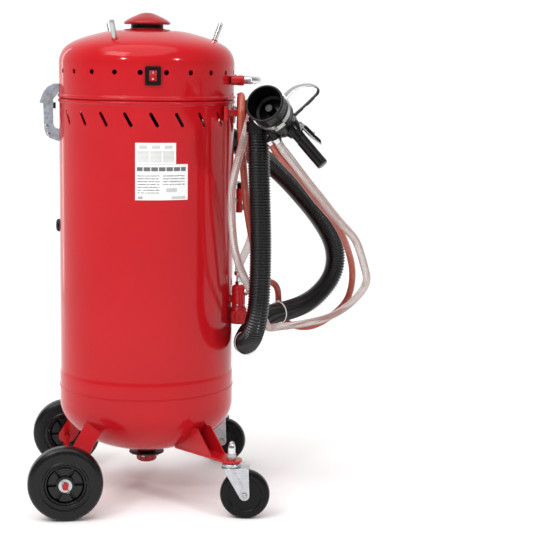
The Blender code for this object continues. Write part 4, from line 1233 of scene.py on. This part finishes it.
for word, sign in (("near", -1), ("far", 1)):
    hub = Vector((WHEEL_X, sign * WHEEL_Y, WHEEL_R))
    out = Vector((0, sign, 0))
    tyre = both_faces([
        (0.041, -0.0172), (0.0425, -0.019), (0.046, -0.019), (0.0476, -0.0176), (0.05, -0.0178),
        (0.053, -0.0189), (0.064, -0.0188), (0.07, -0.0166), (0.0735, -0.0128), (0.0748, -0.008),
        (0.075, -0.003),
    ])
    put(
        "tyre_ring_" + word,
        revolve(tyre, hub, (0, 1, 0), 120, 0.0007),
        TYRE,
        "wheel_" + word,
        ["tyre_" + word],
    )
    rim = both_faces([
        (0.0064, -0.015), (0.015, -0.015), (0.016, -0.003), (0.035, -0.003), (0.0372, -0.016),
        (0.0406, -0.017),
    ])
    put(
        "rim_disc_" + word,
        revolve(rim, hub, (0, 1, 0), 96, 0.001),
        RIM,
        "wheel_" + word,
        ["rim_" + word],
    )
    sectors = []
    for i in range(6):
        a = math.radians(i * 60 + 32)
        radial = Vector((math.cos(a), 0, math.sin(a)))
        shape = arc((0, 0), 0.0348, -24.5, 24.5, 12) + arc((0, 0), 0.015, 20, -20, 6)
        sectors.append(plate(shape, 0.023, hub, (0, 1, 0), radial))
    put("rim_sectors_" + word, merged(sectors), RIM, "wheel_" + word, bevel=0.0012)
    put(
        "hub_face_" + word,
        ring(hub + out * 0.012, hub + out * 0.018, 0.018, 0.0064, 48),
        RIM,
        "wheel_" + word,
    )
    put("washer_" + word, ring(hub + out * 0.0184, hub + out * 0.0203, 0.0134, 0.0062, 48, 0.0004), FORK)
    pin_at = hub + out * 0.0245
    angle = math.radians(118 if sign < 0 else 20)
    run = Vector((math.cos(angle), 0, math.sin(angle)))
    cross = Vector((-run.z, 0, run.x))
    wire = [
        pin_at + run * s + cross * (0.0007 * c)
        for s, c in ((-0.016, -1.8), (-0.01, -1), (0, -1), (0.0085, -1))
    ]
    wire += [
        pin_at + run * s + cross * (0.0007 * c)
        for s, c in ((0.0105, -2.6), (0.013, -2.6), (0.0145, 0), (0.013, 2.6), (0.0105, 2.6), (0.0085, 1))
    ]
    wire += [pin_at + run * s + cross * (0.0007 * c) for s, c in ((0, 1), (-0.01, 1), (-0.015, 3.0))]
    points, _ = smooth(wire, 0.001)
    put("split_pin_" + word, tube(points, 0.0006, 10), STEEL)

# ---------------------------------------------------------------- casters
CASTER_R, TRAIL = 0.05, 0.0275
for word, sign, turn in (("near", -1, -10.0), ("far", 1, -20.0)):
    stem = Vector((0.16, sign * 0.219, 0.0))
    along = Vector((math.cos(math.radians(turn)), math.sin(math.radians(turn)), 0))
    across = Vector((-along.y, along.x, 0))
    fixed = [
        (0, 0.1062), (0.0185, 0.1062), (0.0197, 0.108), (0.0197, 0.1108), (0.0186, 0.1128),
        (0.0155, 0.1155), (0.0055, 0.1155), (0.0055, 0.15), (0.0048, 0.1545), (0.003, 0.1566),
        (0, 0.157),
    ]
    put(
        "caster_head_" + word,
        revolve(fixed, stem, segments=64, round_by=0.0006),
        FORK,
        "frame",
        ["caster_stem_" + word],
    )
    put(
        "caster_washer_" + word,
        ring(stem + UP * 0.1206, stem + UP * 0.1222, 0.01, 0.0056, 40, 0.0003),
        STEEL,
    )
    put("caster_nut_" + word, hexagon(stem + UP * 0.1222, stem + UP * 0.132, 0.0168), STEEL)
    put(
        "caster_dome_" + word,
        revolve(
            [(0, 0.1318), (0.0078, 0.1318), (0.0076, 0.144), (0.0064, 0.15), (0.004, 0.1545), (0, 0.1562)],
            stem,
            segments=40,
            round_by=0.0004,
        ),
        CHROME,
    )
    race = [(0, 0.1022), (0.0175, 0.1022), (0.0192, 0.1034), (0.0192, 0.1046), (0.0172, 0.106), (0, 0.106)]
    put("swivel_race_" + word, revolve(race, stem, segments=64, round_by=0.0006), FORK, "swivel_" + word)
    crown = arc((0, 0), 0.0205, 45, 315, 36) + [
        (0.034, -0.0165), (0.036, -0.012), (0.036, 0.012), (0.034, 0.0165)
    ]
    put(
        "fork_crown_" + word,
        plate(crown, 0.0032, stem + UP * 0.1036, (0, 0, 1), along),
        FORK,
        "swivel_" + word,
        ["caster_fork_" + word],
        bevel=0.0012,
    )
    leg = [(-0.013, 0.1045), (-0.013, 0.099)] + arc(
        (TRAIL, CASTER_R), 0.0105, 207, 360, 20
    ) + [(0.036, 0.099), (0.036, 0.1045)]
    for index, shift in enumerate((-0.0166, 0.0166)):
        put(
            "fork_leg_%s_%d" % (word, index),
            plate(leg, 0.0028, stem + across * shift, -across, along),
            FORK,
            "swivel_" + word,
            bevel=0.001,
        )
        rib = [(0.002, 0.099), (0.006, 0.099), (TRAIL + 0.0012, 0.064), (TRAIL - 0.003, 0.064)]
        rise_by = shift + math.copysign(0.0014, shift)
        put(
            "fork_rib_%s_%d" % (word, index),
            plate(rib, 0.0016, stem + across * rise_by, -across, along),
            FORK,
            "swivel_" + word,
            bevel=0.0007,
        )
    hub = stem + along * TRAIL + UP * CASTER_R
    roll = both_faces([
        (0.0044, -0.013), (0.012, -0.013), (0.0128, -0.0108), (0.024, -0.0096), (0.033, -0.01),
        (0.0345, -0.0116), (0.042, -0.0118), (0.047, -0.0104), (0.0494, -0.007), (0.05, -0.003),
    ])
    put(
        "roller_" + word,
        revolve(roll, hub, across, 96, 0.0006),
        RUBBER,
        "roller_" + word,
        ["caster_wheel_" + word],
    )
    put(
        "fork_bolt_" + word,
        rod(hub - across * 0.0224, hub + across * 0.0224, 0.0039, 24),
        STEEL,
        "swivel_" + word,
        ["caster_bolt_" + word],
    )
    put(
        "fork_bolt_head_" + word,
        hexagon(hub - across * 0.018, hub - across * 0.0222, 0.0112),
        STEEL,
        "swivel_" + word,
    )
    put(
        "fork_bolt_nut_" + word,
        hexagon(hub + across * 0.018, hub + across * 0.0222, 0.0112),
        STEEL,
        "swivel_" + word,
    )

# ---------------------------------------------------------------- gun
MOUTH = Vector((0.2071, -0.296, 0.8323))
BORE = Vector((0.467, 0.782, -0.413)).normalized()
GRIP = Vector((0.6, -0.35, -0.715)).normalized()
hood = [
    (0.0338, 0), (0.0368, 0), (0.0379, 0.0022), (0.0379, 0.0062), (0.0366, 0.009), (0.0363, 0.026),
    (0.0363, 0.044), (0.0352, 0.047), (0.0352, 0.06), (0.031, 0.06), (0.031, 0.0448),
    (0.025, 0.044), (0.025, 0.04), (0.031, 0.038), (0.0316, 0.022), (0.0322, 0.021),
    (0.0326, 0.008),
]
put("hood_cuff", revolve(hood, MOUTH, BORE, 96, 0.0008), RUBBER, "frame", ["gun_cup"])


def perforated(a, radius, height):
    if radius < 0.0378 or not 0.0315 < height < 0.0405:
        return radius
    return radius - 0.0004 * (math.sin(a * 60) > 0.2)


band = [
    (0.0366, 0.03), (0.0379, 0.03), (0.038, 0.0318), (0.038, 0.036), (0.038, 0.0402),
    (0.0379, 0.042), (0.0366, 0.042),
]
put(
    "clamp_band",
    revolve(band, MOUTH, BORE, 360, 0.0, perforated),
    STEEL,
    "frame",
    ["gun_clamp"],
    sharp=25,
)
low = Vector((0.3, -0.62, -0.55))
low = (low - BORE * low.dot(BORE)).normalized()
beside = BORE.cross(low).normalized()
buckle = MOUTH + BORE * 0.036 + low * 0.0396
outline = [
    (-0.0085, -0.0024), (0.0085, -0.0024), (0.008, 0.0022), (0.005, 0.0038), (-0.005, 0.0038),
    (-0.008, 0.0022),
]
put("clamp_buckle", plate(outline, 0.0126, buckle, BORE, beside), STEEL, bevel=0.0006)
put(
    "clamp_screw",
    hexagon(buckle + beside * 0.008 + low * 0.0012, buckle + beside * 0.013 + low * 0.0012, 0.0066),
    STEEL,
)
shell = [
    (0, 0.025), (0.006, 0.025), (0.0075, 0.0262), (0.0085, 0.044), (0.0305, 0.045),
    (0.0305, 0.0605), (0.0345, 0.0607), (0.0352, 0.0622), (0.0352, 0.0652), (0.0335, 0.0668),
    (0.0308, 0.0692), (0.03, 0.085), (0.0296, 0.1), (0.0282, 0.106), (0.024, 0.1095),
    (0.015, 0.1108), (0, 0.1112),
]
put("gun_shell", revolve(shell, MOUTH, BORE, 96, 0.0008), BLACK, "frame", ["gun_body"])
nozzle = [(0.0042, 0.0245), (0.0072, 0.0245), (0.0072, 0.038), (0.0042, 0.038)]
# The nozzle's near-black is partly the carbide's own colour and partly painted shade from deep inside the
# hood.
put("gun_nozzle", revolve(nozzle, MOUTH, BORE, 40, 0.0004), CARBIDE_AND_SHADE)
GRIP_ROOT = Vector((0.2599, -0.225, 0.7938))
LEVER_SIDE = Vector((0.765, 0.05, 0.644))
LEVER_SIDE = (LEVER_SIDE - GRIP * LEVER_SIDE.dot(GRIP)).normalized()


def grip_radius(run, a):
    stem = 0.0104 + 0.0008 * math.sin(run * 60)
    sleeve_on = min(max((run - 0.046) / 0.003, 0.0), 1.0)
    end = max(0.0, (run - 0.1095) / 0.0025)
    return (stem * (1 - sleeve_on) + 0.0116 * sleeve_on) * (1 - 0.16 * end * end)


GRIP_LENGTH, GRIP_STEPS = 0.112, 112
grip_line = [GRIP_ROOT + GRIP * (GRIP_LENGTH * i / GRIP_STEPS) for i in range(GRIP_STEPS + 1)]
put("gun_grip", tube(grip_line, grip_radius, 40, 1.3, LEVER_SIDE), BLACK, sharp=50)
collar_profile = [(0, -0.008), (0.0175, -0.008), (0.019, 0.0), (0.0172, 0.015), (0.014, 0.026), (0, 0.027)]
put("grip_collar", revolve(collar_profile, GRIP_ROOT + GRIP * 0.006, GRIP, 48, 0.0012), BLACK)
PORT_END = Vector((0.2103, -0.185, 0.7935))
PORT_BEND = PORT_END + UP * 0.0315
port_line = [
    Vector((0.248, -0.231, 0.7985)),
    Vector((0.237, -0.2178, 0.8075)),
    Vector((0.227, -0.2058, 0.8155)),
    Vector((0.218, -0.1945, 0.8195)),
    Vector((0.2125, -0.1878, 0.8165)),
    Vector((0.2103, -0.185, 0.808)),
    PORT_END,
]
points, _ = smooth(port_line, 0.002)
put("gun_port", tube(points, 0.0183, 48), BLACK, sharp=50)
put("gun_port_ring", ring(PORT_END + UP * 0.001, PORT_END + UP * 0.007, 0.0205, 0.017), BLACK)
FEED_DIR = Vector((0.55, 0.28, -0.79)).normalized()
FEED_END = Vector((0.2437, -0.226, 0.756))
BLOW_END = Vector((0.2325, -0.213, 0.7505))
for word, end, radius, root in (
    ("feed", FEED_END, 0.0095, FEED_END - FEED_DIR * 0.03),
    ("blow", BLOW_END, 0.0077, Vector((0.245, -0.223, 0.79))),
):
    put("gun_%s_boss" % word, rod(root, end - FEED_DIR * 0.006, radius * 0.96), BLACK)
    put(
        "gun_%s_ferrule" % word,
        ring(end - FEED_DIR * 0.009, end, radius + 0.0002, radius * 0.5, 40),
        CHROME,
    )
    put(
        "gun_%s_lip" % word,
        ring(end - FEED_DIR * 0.0052, end - FEED_DIR * 0.003, radius + 0.0009, radius * 0.6, 40, 0.0004),
        CHROME,
    )
put("gun_rest", rod((0.25, -0.1603, 0.8), (0.252, -0.23, 0.7985), 0.008, 40), BLACK)
put(
    "gun_rest_cap",
    revolve(
        [(0, 0), (0.0094, 0), (0.0094, 0.005), (0.008, 0.0062), (0, 0.0062)],
        (0.25, -0.1603, 0.8), (0.0286, -0.9989, -0.0215),
        40,
    ),
    BLACK,
)

loop_route = [
    (0.259, -0.242, 0.8475), (0.267, -0.239, 0.855), (0.28, -0.234, 0.862), (0.295, -0.23, 0.8655),
    (0.31, -0.228, 0.865), (0.321, -0.226, 0.859), (0.32, -0.224, 0.849), (0.309, -0.222, 0.837),
    (0.296, -0.22, 0.824), (0.283, -0.218, 0.812),
]
points, _ = smooth([(0.252, -0.244, 0.84), *loop_route, (0.274, -0.2165, 0.803)], 0.0015)
strap = put(
    "loop_strap",
    tube(points, 0.0094, 24, 0.24, (0.1, -0.86, -0.46)),
    PIN,
    "frame",
    ["gun_loop"],
    sharp=50,
)
# The strap's faces that turn toward the loop's middle take the dark finish: painted shade on the inner side
# of the loop.
strap.data.materials.append(CARBIDE_AND_SHADE)
loop_middle = AXIS + Vector((0.295, -0.23, 0.844))
for polygon in strap.data.polygons:
    polygon.material_index = int(polygon.normal.dot((loop_middle - polygon.center).normalized()) > 0.25)

lever_root = GRIP_ROOT + GRIP * 0.027 + LEVER_SIDE * 0.0172
trigger_axis = GRIP.cross(LEVER_SIDE).normalized()
blade = [
    (-0.016, -0.0004), (0.0, -0.0018), (0.02, -0.0006), (0.04, 0.0016), (0.051, 0.0042), (0.053, 0.0056)
]
blade += [(0.0524, 0.0064), (0.04, 0.004), (0.02, 0.0016), (0.0, 0.0006), (-0.016, 0.002)]
put(
    "trigger_blade",
    plate(blade, 0.014, lever_root, trigger_axis, GRIP),
    CHROME,
    "trigger",
    ["gun_trigger"],
    bevel=0.0006,
)
shoe = [(-0.011, 0.0018), (0.0, 0.0008), (0.02, 0.0018), (0.04, 0.0042), (0.05, 0.0064), (0.0502, 0.008)]
shoe += [
    (0.045, 0.0104), (0.038, 0.0102), (0.03, 0.0086), (0.02, 0.0088), (0.008, 0.0078), (-0.006, 0.0046)
]
put("trigger_shoe", plate(shoe, 0.0112, lever_root, trigger_axis, GRIP), BLACK, "trigger", bevel=0.0008)
knob_at = lever_root + GRIP * 0.024 + LEVER_SIDE * 0.0082
put(
    "trigger_screw",
    revolve(
        [(0, 0), (0.0034, 0), (0.0034, 0.0024), (0.0022, 0.0034), (0, 0.0036)],
        knob_at,
        LEVER_SIDE,
        28,
        0.0003,
    ),
    STEEL,
    "trigger",
)
for index, side in enumerate((-1, 1)):
    ear = [(-0.006, -0.009), (0.006, -0.009)] + arc((0, 0), 0.005, -10, 190, 12)
    put(
        "trigger_ear_%d" % index,
        plate(ear, 0.0012, lever_root + trigger_axis * 0.0079 * side, trigger_axis, GRIP),
        STEEL,
        bevel=0.0003,
    )
put(
    "trigger_pin",
    rod(lever_root - trigger_axis * 0.0096, lever_root + trigger_axis * 0.0096, 0.0015, 20, 0.0003),
    STEEL,
)
guard = [
    GRIP_ROOT + GRIP * s + LEVER_SIDE * d
    for s, d in (
        (0.004, 0.015), (0.014, 0.0158), (0.024, 0.014), (0.034, 0.0114), (0.06, 0.0108), (0.086, 0.0108)
    )
]
points, _ = smooth(guard, 0.002)
put("grip_strip", tube(points, 0.0052, 20, 0.16, trigger_axis), CHROME, sharp=50)

# ---------------------------------------------------------------- hoses
vacuum_route = [
    PORT_END - UP * 0.0008,
    PORT_END - UP * 0.03,
    (0.2125, -0.185, 0.69), (0.2175, -0.185, 0.55), (0.216, -0.185, 0.445),
    (0.2115, -0.183, 0.398), (0.203, -0.155, 0.352), (0.196, -0.103, 0.333), (0.209, -0.03, 0.335),
    (0.235, 0.05, 0.343), (0.275, 0.125, 0.352), (0.33, 0.175, 0.356), (0.38, 0.2, 0.372),
    (0.423, 0.208, 0.415), (0.437, 0.206, 0.46), (0.429, 0.203, 0.508), (0.399, 0.198, 0.559),
    (0.358, 0.188, 0.609), (0.313, 0.164, 0.656), (0.272, 0.135, 0.69),
    INLET_END + down * 0.032,
    INLET_END + down * 0.015,
    INLET_END + down * 0.0012,
]
abrasive_route = [
    (VALVE.x, VALVE.y, 0.4692),
    (VALVE.x, VALVE.y, 0.478),
    (VALVE.x + 0.0005, VALVE.y, 0.488),
    (0.195, -0.061, 0.506), (0.212, -0.06, 0.545), (0.22, -0.062, 0.62), (0.221, -0.062, 0.72),
    (0.218, -0.059, 0.79), (0.215, -0.074, 0.833), (0.213, -0.105, 0.845), (0.209, -0.135, 0.837),
    (0.2, -0.153, 0.812), (0.18, -0.16, 0.74), (0.164, -0.16, 0.676), (0.161, -0.16, 0.63),
    (0.168, -0.156, 0.538), (0.19, -0.145, 0.476), (0.218, -0.106, 0.425), (0.243, -0.04, 0.374),
    (0.263, 0.03, 0.342), (0.29, 0.085, 0.333), (0.348, 0.118, 0.333), (0.407, 0.13, 0.3439),
    (0.4433, 0.12, 0.3665), (0.4705, 0.1, 0.398), (0.4862, 0.08, 0.43), (0.4791, 0.06, 0.4573),
    (0.4479, 0.01, 0.5295), (0.4171, -0.03, 0.5621), (0.375, -0.08, 0.6059),
    (0.3508, -0.11, 0.6336), (0.325, -0.14, 0.6607), (0.2998, -0.17, 0.6891),
    (0.2757, -0.195, 0.7167),
    FEED_END + FEED_DIR * 0.022,
    FEED_END + FEED_DIR * 0.01,
    FEED_END + FEED_DIR * 0.0012,
]
air_route = [
    OUTLET + outlet_out * 0.0012,
    OUTLET + outlet_out * 0.01,
    OUTLET + outlet_out * 0.02,
    (0.21, 0.174, 0.396), (0.256, 0.192, 0.414), (0.295, 0.195, 0.418), (0.306, 0.199, 0.3968),
    (0.307, 0.202, 0.355), (0.319, 0.198, 0.325), (0.35, 0.178, 0.315), (0.383, 0.168, 0.3183),
    (0.413, 0.164, 0.3358), (0.44, 0.154, 0.36), (0.456, 0.135, 0.3904), (0.46, 0.115, 0.4331),
    (0.454, 0.095, 0.4706), (0.437, 0.063, 0.5118), (0.42, 0.027, 0.5415), (0.396, -0.005, 0.5769),
    (0.371, -0.04, 0.6031), (0.345, -0.074, 0.629), (0.319, -0.109, 0.6585),
    (0.293, -0.143, 0.6874), (0.262, -0.1815, 0.715),
    BLOW_END + FEED_DIR * 0.022,
    BLOW_END + FEED_DIR * 0.01,
    BLOW_END + FEED_DIR * 0.0012,
]
AIR_PORT = Vector((0.206, 0, 0.606))
feed_route = [
    AIR_PORT + Vector((0.0012, 0, 0)),
    AIR_PORT + Vector((0.008, 0, 0)),
    (0.218, 0.0, 0.606), (0.23, -0.013, 0.615), (0.23, -0.026, 0.645), (0.22, -0.031, 0.69),
    (0.201, -0.045, 0.75), (0.1875, -0.062, 0.805), (0.185, -0.083, 0.837), (0.184, -0.107, 0.843),
    (0.183, -0.13, 0.834), (0.181, -0.14, 0.805), (0.1815, -0.139, 0.76), (0.187, -0.137, 0.695),
    (0.193, -0.133, 0.633), (0.204, -0.122, 0.57), (0.222, -0.1, 0.5), (0.232, -0.086, 0.46),
    FEED_PORT + port_out * 0.017,
    FEED_PORT + port_out * 0.009,
    FEED_PORT + port_out * 0.0012,
]
RIDGE = 0.0056
COIL = 0.0042


def corrugation(run, _):
    phase = (run / RIDGE) % 1.0
    return 0.0198 + 0.0027 * max(0.0, math.sin(math.pi * phase)) ** 2.2


def spiral(run, a):
    return 0.0077 + 0.001 * max(0.0, math.cos(math.tau * run / COIL - a)) ** 3


def plain(_, __):
    return 0.0073


hoses = (
    (
        "vacuum_line",
        "vacuum_hose",
        vacuum_route,
        RIDGE / 8,
        corrugation,
        40,
        HOSE,
        "black_rubber",
        0.045,
        "stiff",
    ),
    (
        "abrasive_line",
        "abrasive_hose",
        abrasive_route,
        COIL / 6,
        spiral,
        24,
        CLEAR,
        "clear_hose",
        0.017,
        "medium",
    ),
    ("air_line", "air_hose", air_route, 0.004, plain, 24, BRICK, "brick_hose", 0.0146, "medium"),
    ("air_feed_line", "air_feed_hose", feed_route, 0.004, plain, 24, BRICK, "brick_hose", 0.0146, "medium"),
)
paths = {}
for name, node, route, step, radius, segments, finish, slot, diameter, stiffness in hoses:
    points, length = smooth(relaxed(route, 30), step)
    paths[name] = points
    piece = put(name, tube(points, radius, segments), finish, "frame", [node], sharp=70)
    if finish is CLEAR:
        piece.data.materials.append(RIB)
        for polygon in piece.data.polygons[: (len(points) - 1) * segments]:
            along, around = divmod(polygon.index, segments)
            turn = math.tau * (
                (along + 0.5) * length / (len(points) - 1) / COIL - (around + 0.5) / segments
            )
            polygon.material_index = int(math.cos(turn) > 0.55)
    path = [p + AXIS for p in points[:: max(int(0.004 / step), 1)]]
    path.append(points[-1] + AXIS)

# Cuffs and clips where the hoses meet their fittings.
line = paths["vacuum_line"]
for name, at, way in (
    ("vacuum_cuff_gun", line[0], (line[12] - line[0]).normalized()),
    ("vacuum_cuff_tank", line[-1], (line[-13] - line[-1]).normalized()),
):
    cuff = [
        (0.0192, 0.0004), (0.0236, 0.0004), (0.024, 0.002), (0.024, 0.02), (0.0232, 0.0215), (0.0192, 0.022)
    ]
    put(name, revolve(cuff, at, way, 64, 0.0008), RUBBER)
for name, key, index, radius in (
    ("clip_valve", "abrasive_line", 8, 0.0094),
    ("clip_air", "air_feed_line", 2, 0.0082),
    ("clip_feed", "air_feed_line", -3, 0.0082),
    ("clip_outlet", "air_line", 2, 0.0082),
):
    line = paths[key]
    index = index % len(line)
    way = (line[index + 1] - line[index - 1]).normalized()
    put(
        name,
        ring(line[index] - way * 0.0032, line[index] + way * 0.0032, radius, radius - 0.001, 48, 0.0003),
        STEEL,
    )


def tie(name, centre, normal, reach, side):
    """A flat nylon tie round one or more hoses, with its head."""
    basis = turned(centre, normal, side)
    loop = [
        basis @ Vector((reach[0] * math.cos(a), reach[1] * math.sin(a), 0))
        for a in [math.tau * i / 48 for i in range(49)]
    ]
    put(name, tube(loop, 0.0018, 12, 0.4, normal), TIE)
    head_at = basis @ Vector((reach[0], 0, 0))
    w = (head_at - Vector(centre)).normalized()
    outline = [(-0.0028, -0.0022), (0.0028, -0.0022), (0.0028, 0.0026), (-0.0028, 0.0026)]
    put(name + "_head", plate(outline, 0.0042, head_at, normal, w.cross(Vector(normal))), TIE, bevel=0.0006)


line = paths["vacuum_line"]
spot = min(range(len(line)), key=lambda i: abs(line[i].x - 0.3) + abs(line[i].z - 0.355) * 3)
way = (line[spot + 3] - line[spot - 3]).normalized()
tie("tie_bundle", line[spot], way, (0.0252, 0.024), UP)
spot = min(range(len(line)), key=lambda i: (line[i] - Vector((0.199, -0.125, 0.34))).length)
way = (line[spot + 3] - line[spot - 3]).normalized()
tie("tie_low", line[spot], way, (0.0245, 0.024), UP)

# ---------------------------------------------------------------- floor, light
floor = bpy.data.meshes.new("floor")
floor.from_pydata([(-60, -60, 0), (60, -60, 0), (60, 60, 0), (-60, 60, 0)], [], [(0, 1, 2, 3)])
ground = bpy.data.objects.new("floor", floor)
bpy.context.scene.collection.objects.link(ground)
pale = Nodes("studio_floor")
pale.set("Base Color", pale.blend(pale.noise(0.5), (0.94, 0.94, 0.94, 1), (0.97, 0.97, 0.97, 1)))
pale.set("Roughness", 0.65)
pale.set("Specular IOR Level", 0.2)
floor.materials.append(pale.made)
ground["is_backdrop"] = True

world = bpy.data.worlds.new("studio")
bpy.context.scene.world = world
world.use_nodes = True
tree = world.node_tree
back = tree.nodes["Background"]
back.inputs["Color"].default_value = (1.0, 1.0, 1.0, 1.0)
facing = tree.nodes.new("ShaderNodeSeparateXYZ")
tree.links.new(tree.nodes.new("ShaderNodeTexCoord").outputs["Generated"], facing.inputs[0])
glow = tree.nodes.new("ShaderNodeMapRange")
glow.interpolation_type = "SMOOTHSTEP"
for key, value in (("From Min", -0.25), ("From Max", 0.75), ("To Min", 0.34), ("To Max", 0.9)):
    glow.inputs[key].default_value = value
tree.links.new(facing.outputs["Y"], glow.inputs["Value"])
seen = tree.nodes.new("ShaderNodeMix")
seen.inputs["B"].default_value = 1.02
tree.links.new(tree.nodes.new("ShaderNodeLightPath").outputs["Is Camera Ray"], seen.inputs["Factor"])
tree.links.new(glow.outputs["Result"], seen.inputs["A"])
tree.links.new(seen.outputs["Result"], back.inputs["Strength"])


def aim(name, kind, place, target, energy, size=None, angle=None):
    lamp = bpy.data.lights.new(name, kind)
    lamp.energy = energy
    if size:
        lamp.shape = "RECTANGLE"
        lamp.size, lamp.size_y = size
    if angle:
        lamp.angle = math.radians(angle)
    obj = bpy.data.objects.new(name, lamp)
    look = (Vector(target) - Vector(place)).to_track_quat("-Z", "Y")
    obj.matrix_world = Matrix.Translation(place) @ look.to_matrix().to_4x4()
    bpy.context.scene.collection.objects.link(obj)


aim("overhead", "SUN", (-0.5, -0.9, 3.4), (0, 0, 0.4), 2.0, angle=70)
aim("left_strip", "AREA", (-1.45, 1.95, 1.0), (-0.1, 0, 0.6), 3.0, (0.25, 1.9))
aim("lid_box", "AREA", (-1.5, -1.2, 2.7), (0, 0, 0.95), 17.0, (1.2, 0.8))
aim("left_spot", "AREA", (-1.6, -2.3, 2.1), (0, 0, 0.7), 15.0, (0.2, 0.2))
aim("right_spot", "AREA", (1.7, -2.3, 2.1), (0, 0, 0.7), 17.0, (0.2, 0.2))
bpy.context.scene.view_settings.view_transform = "Standard"

low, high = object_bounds()
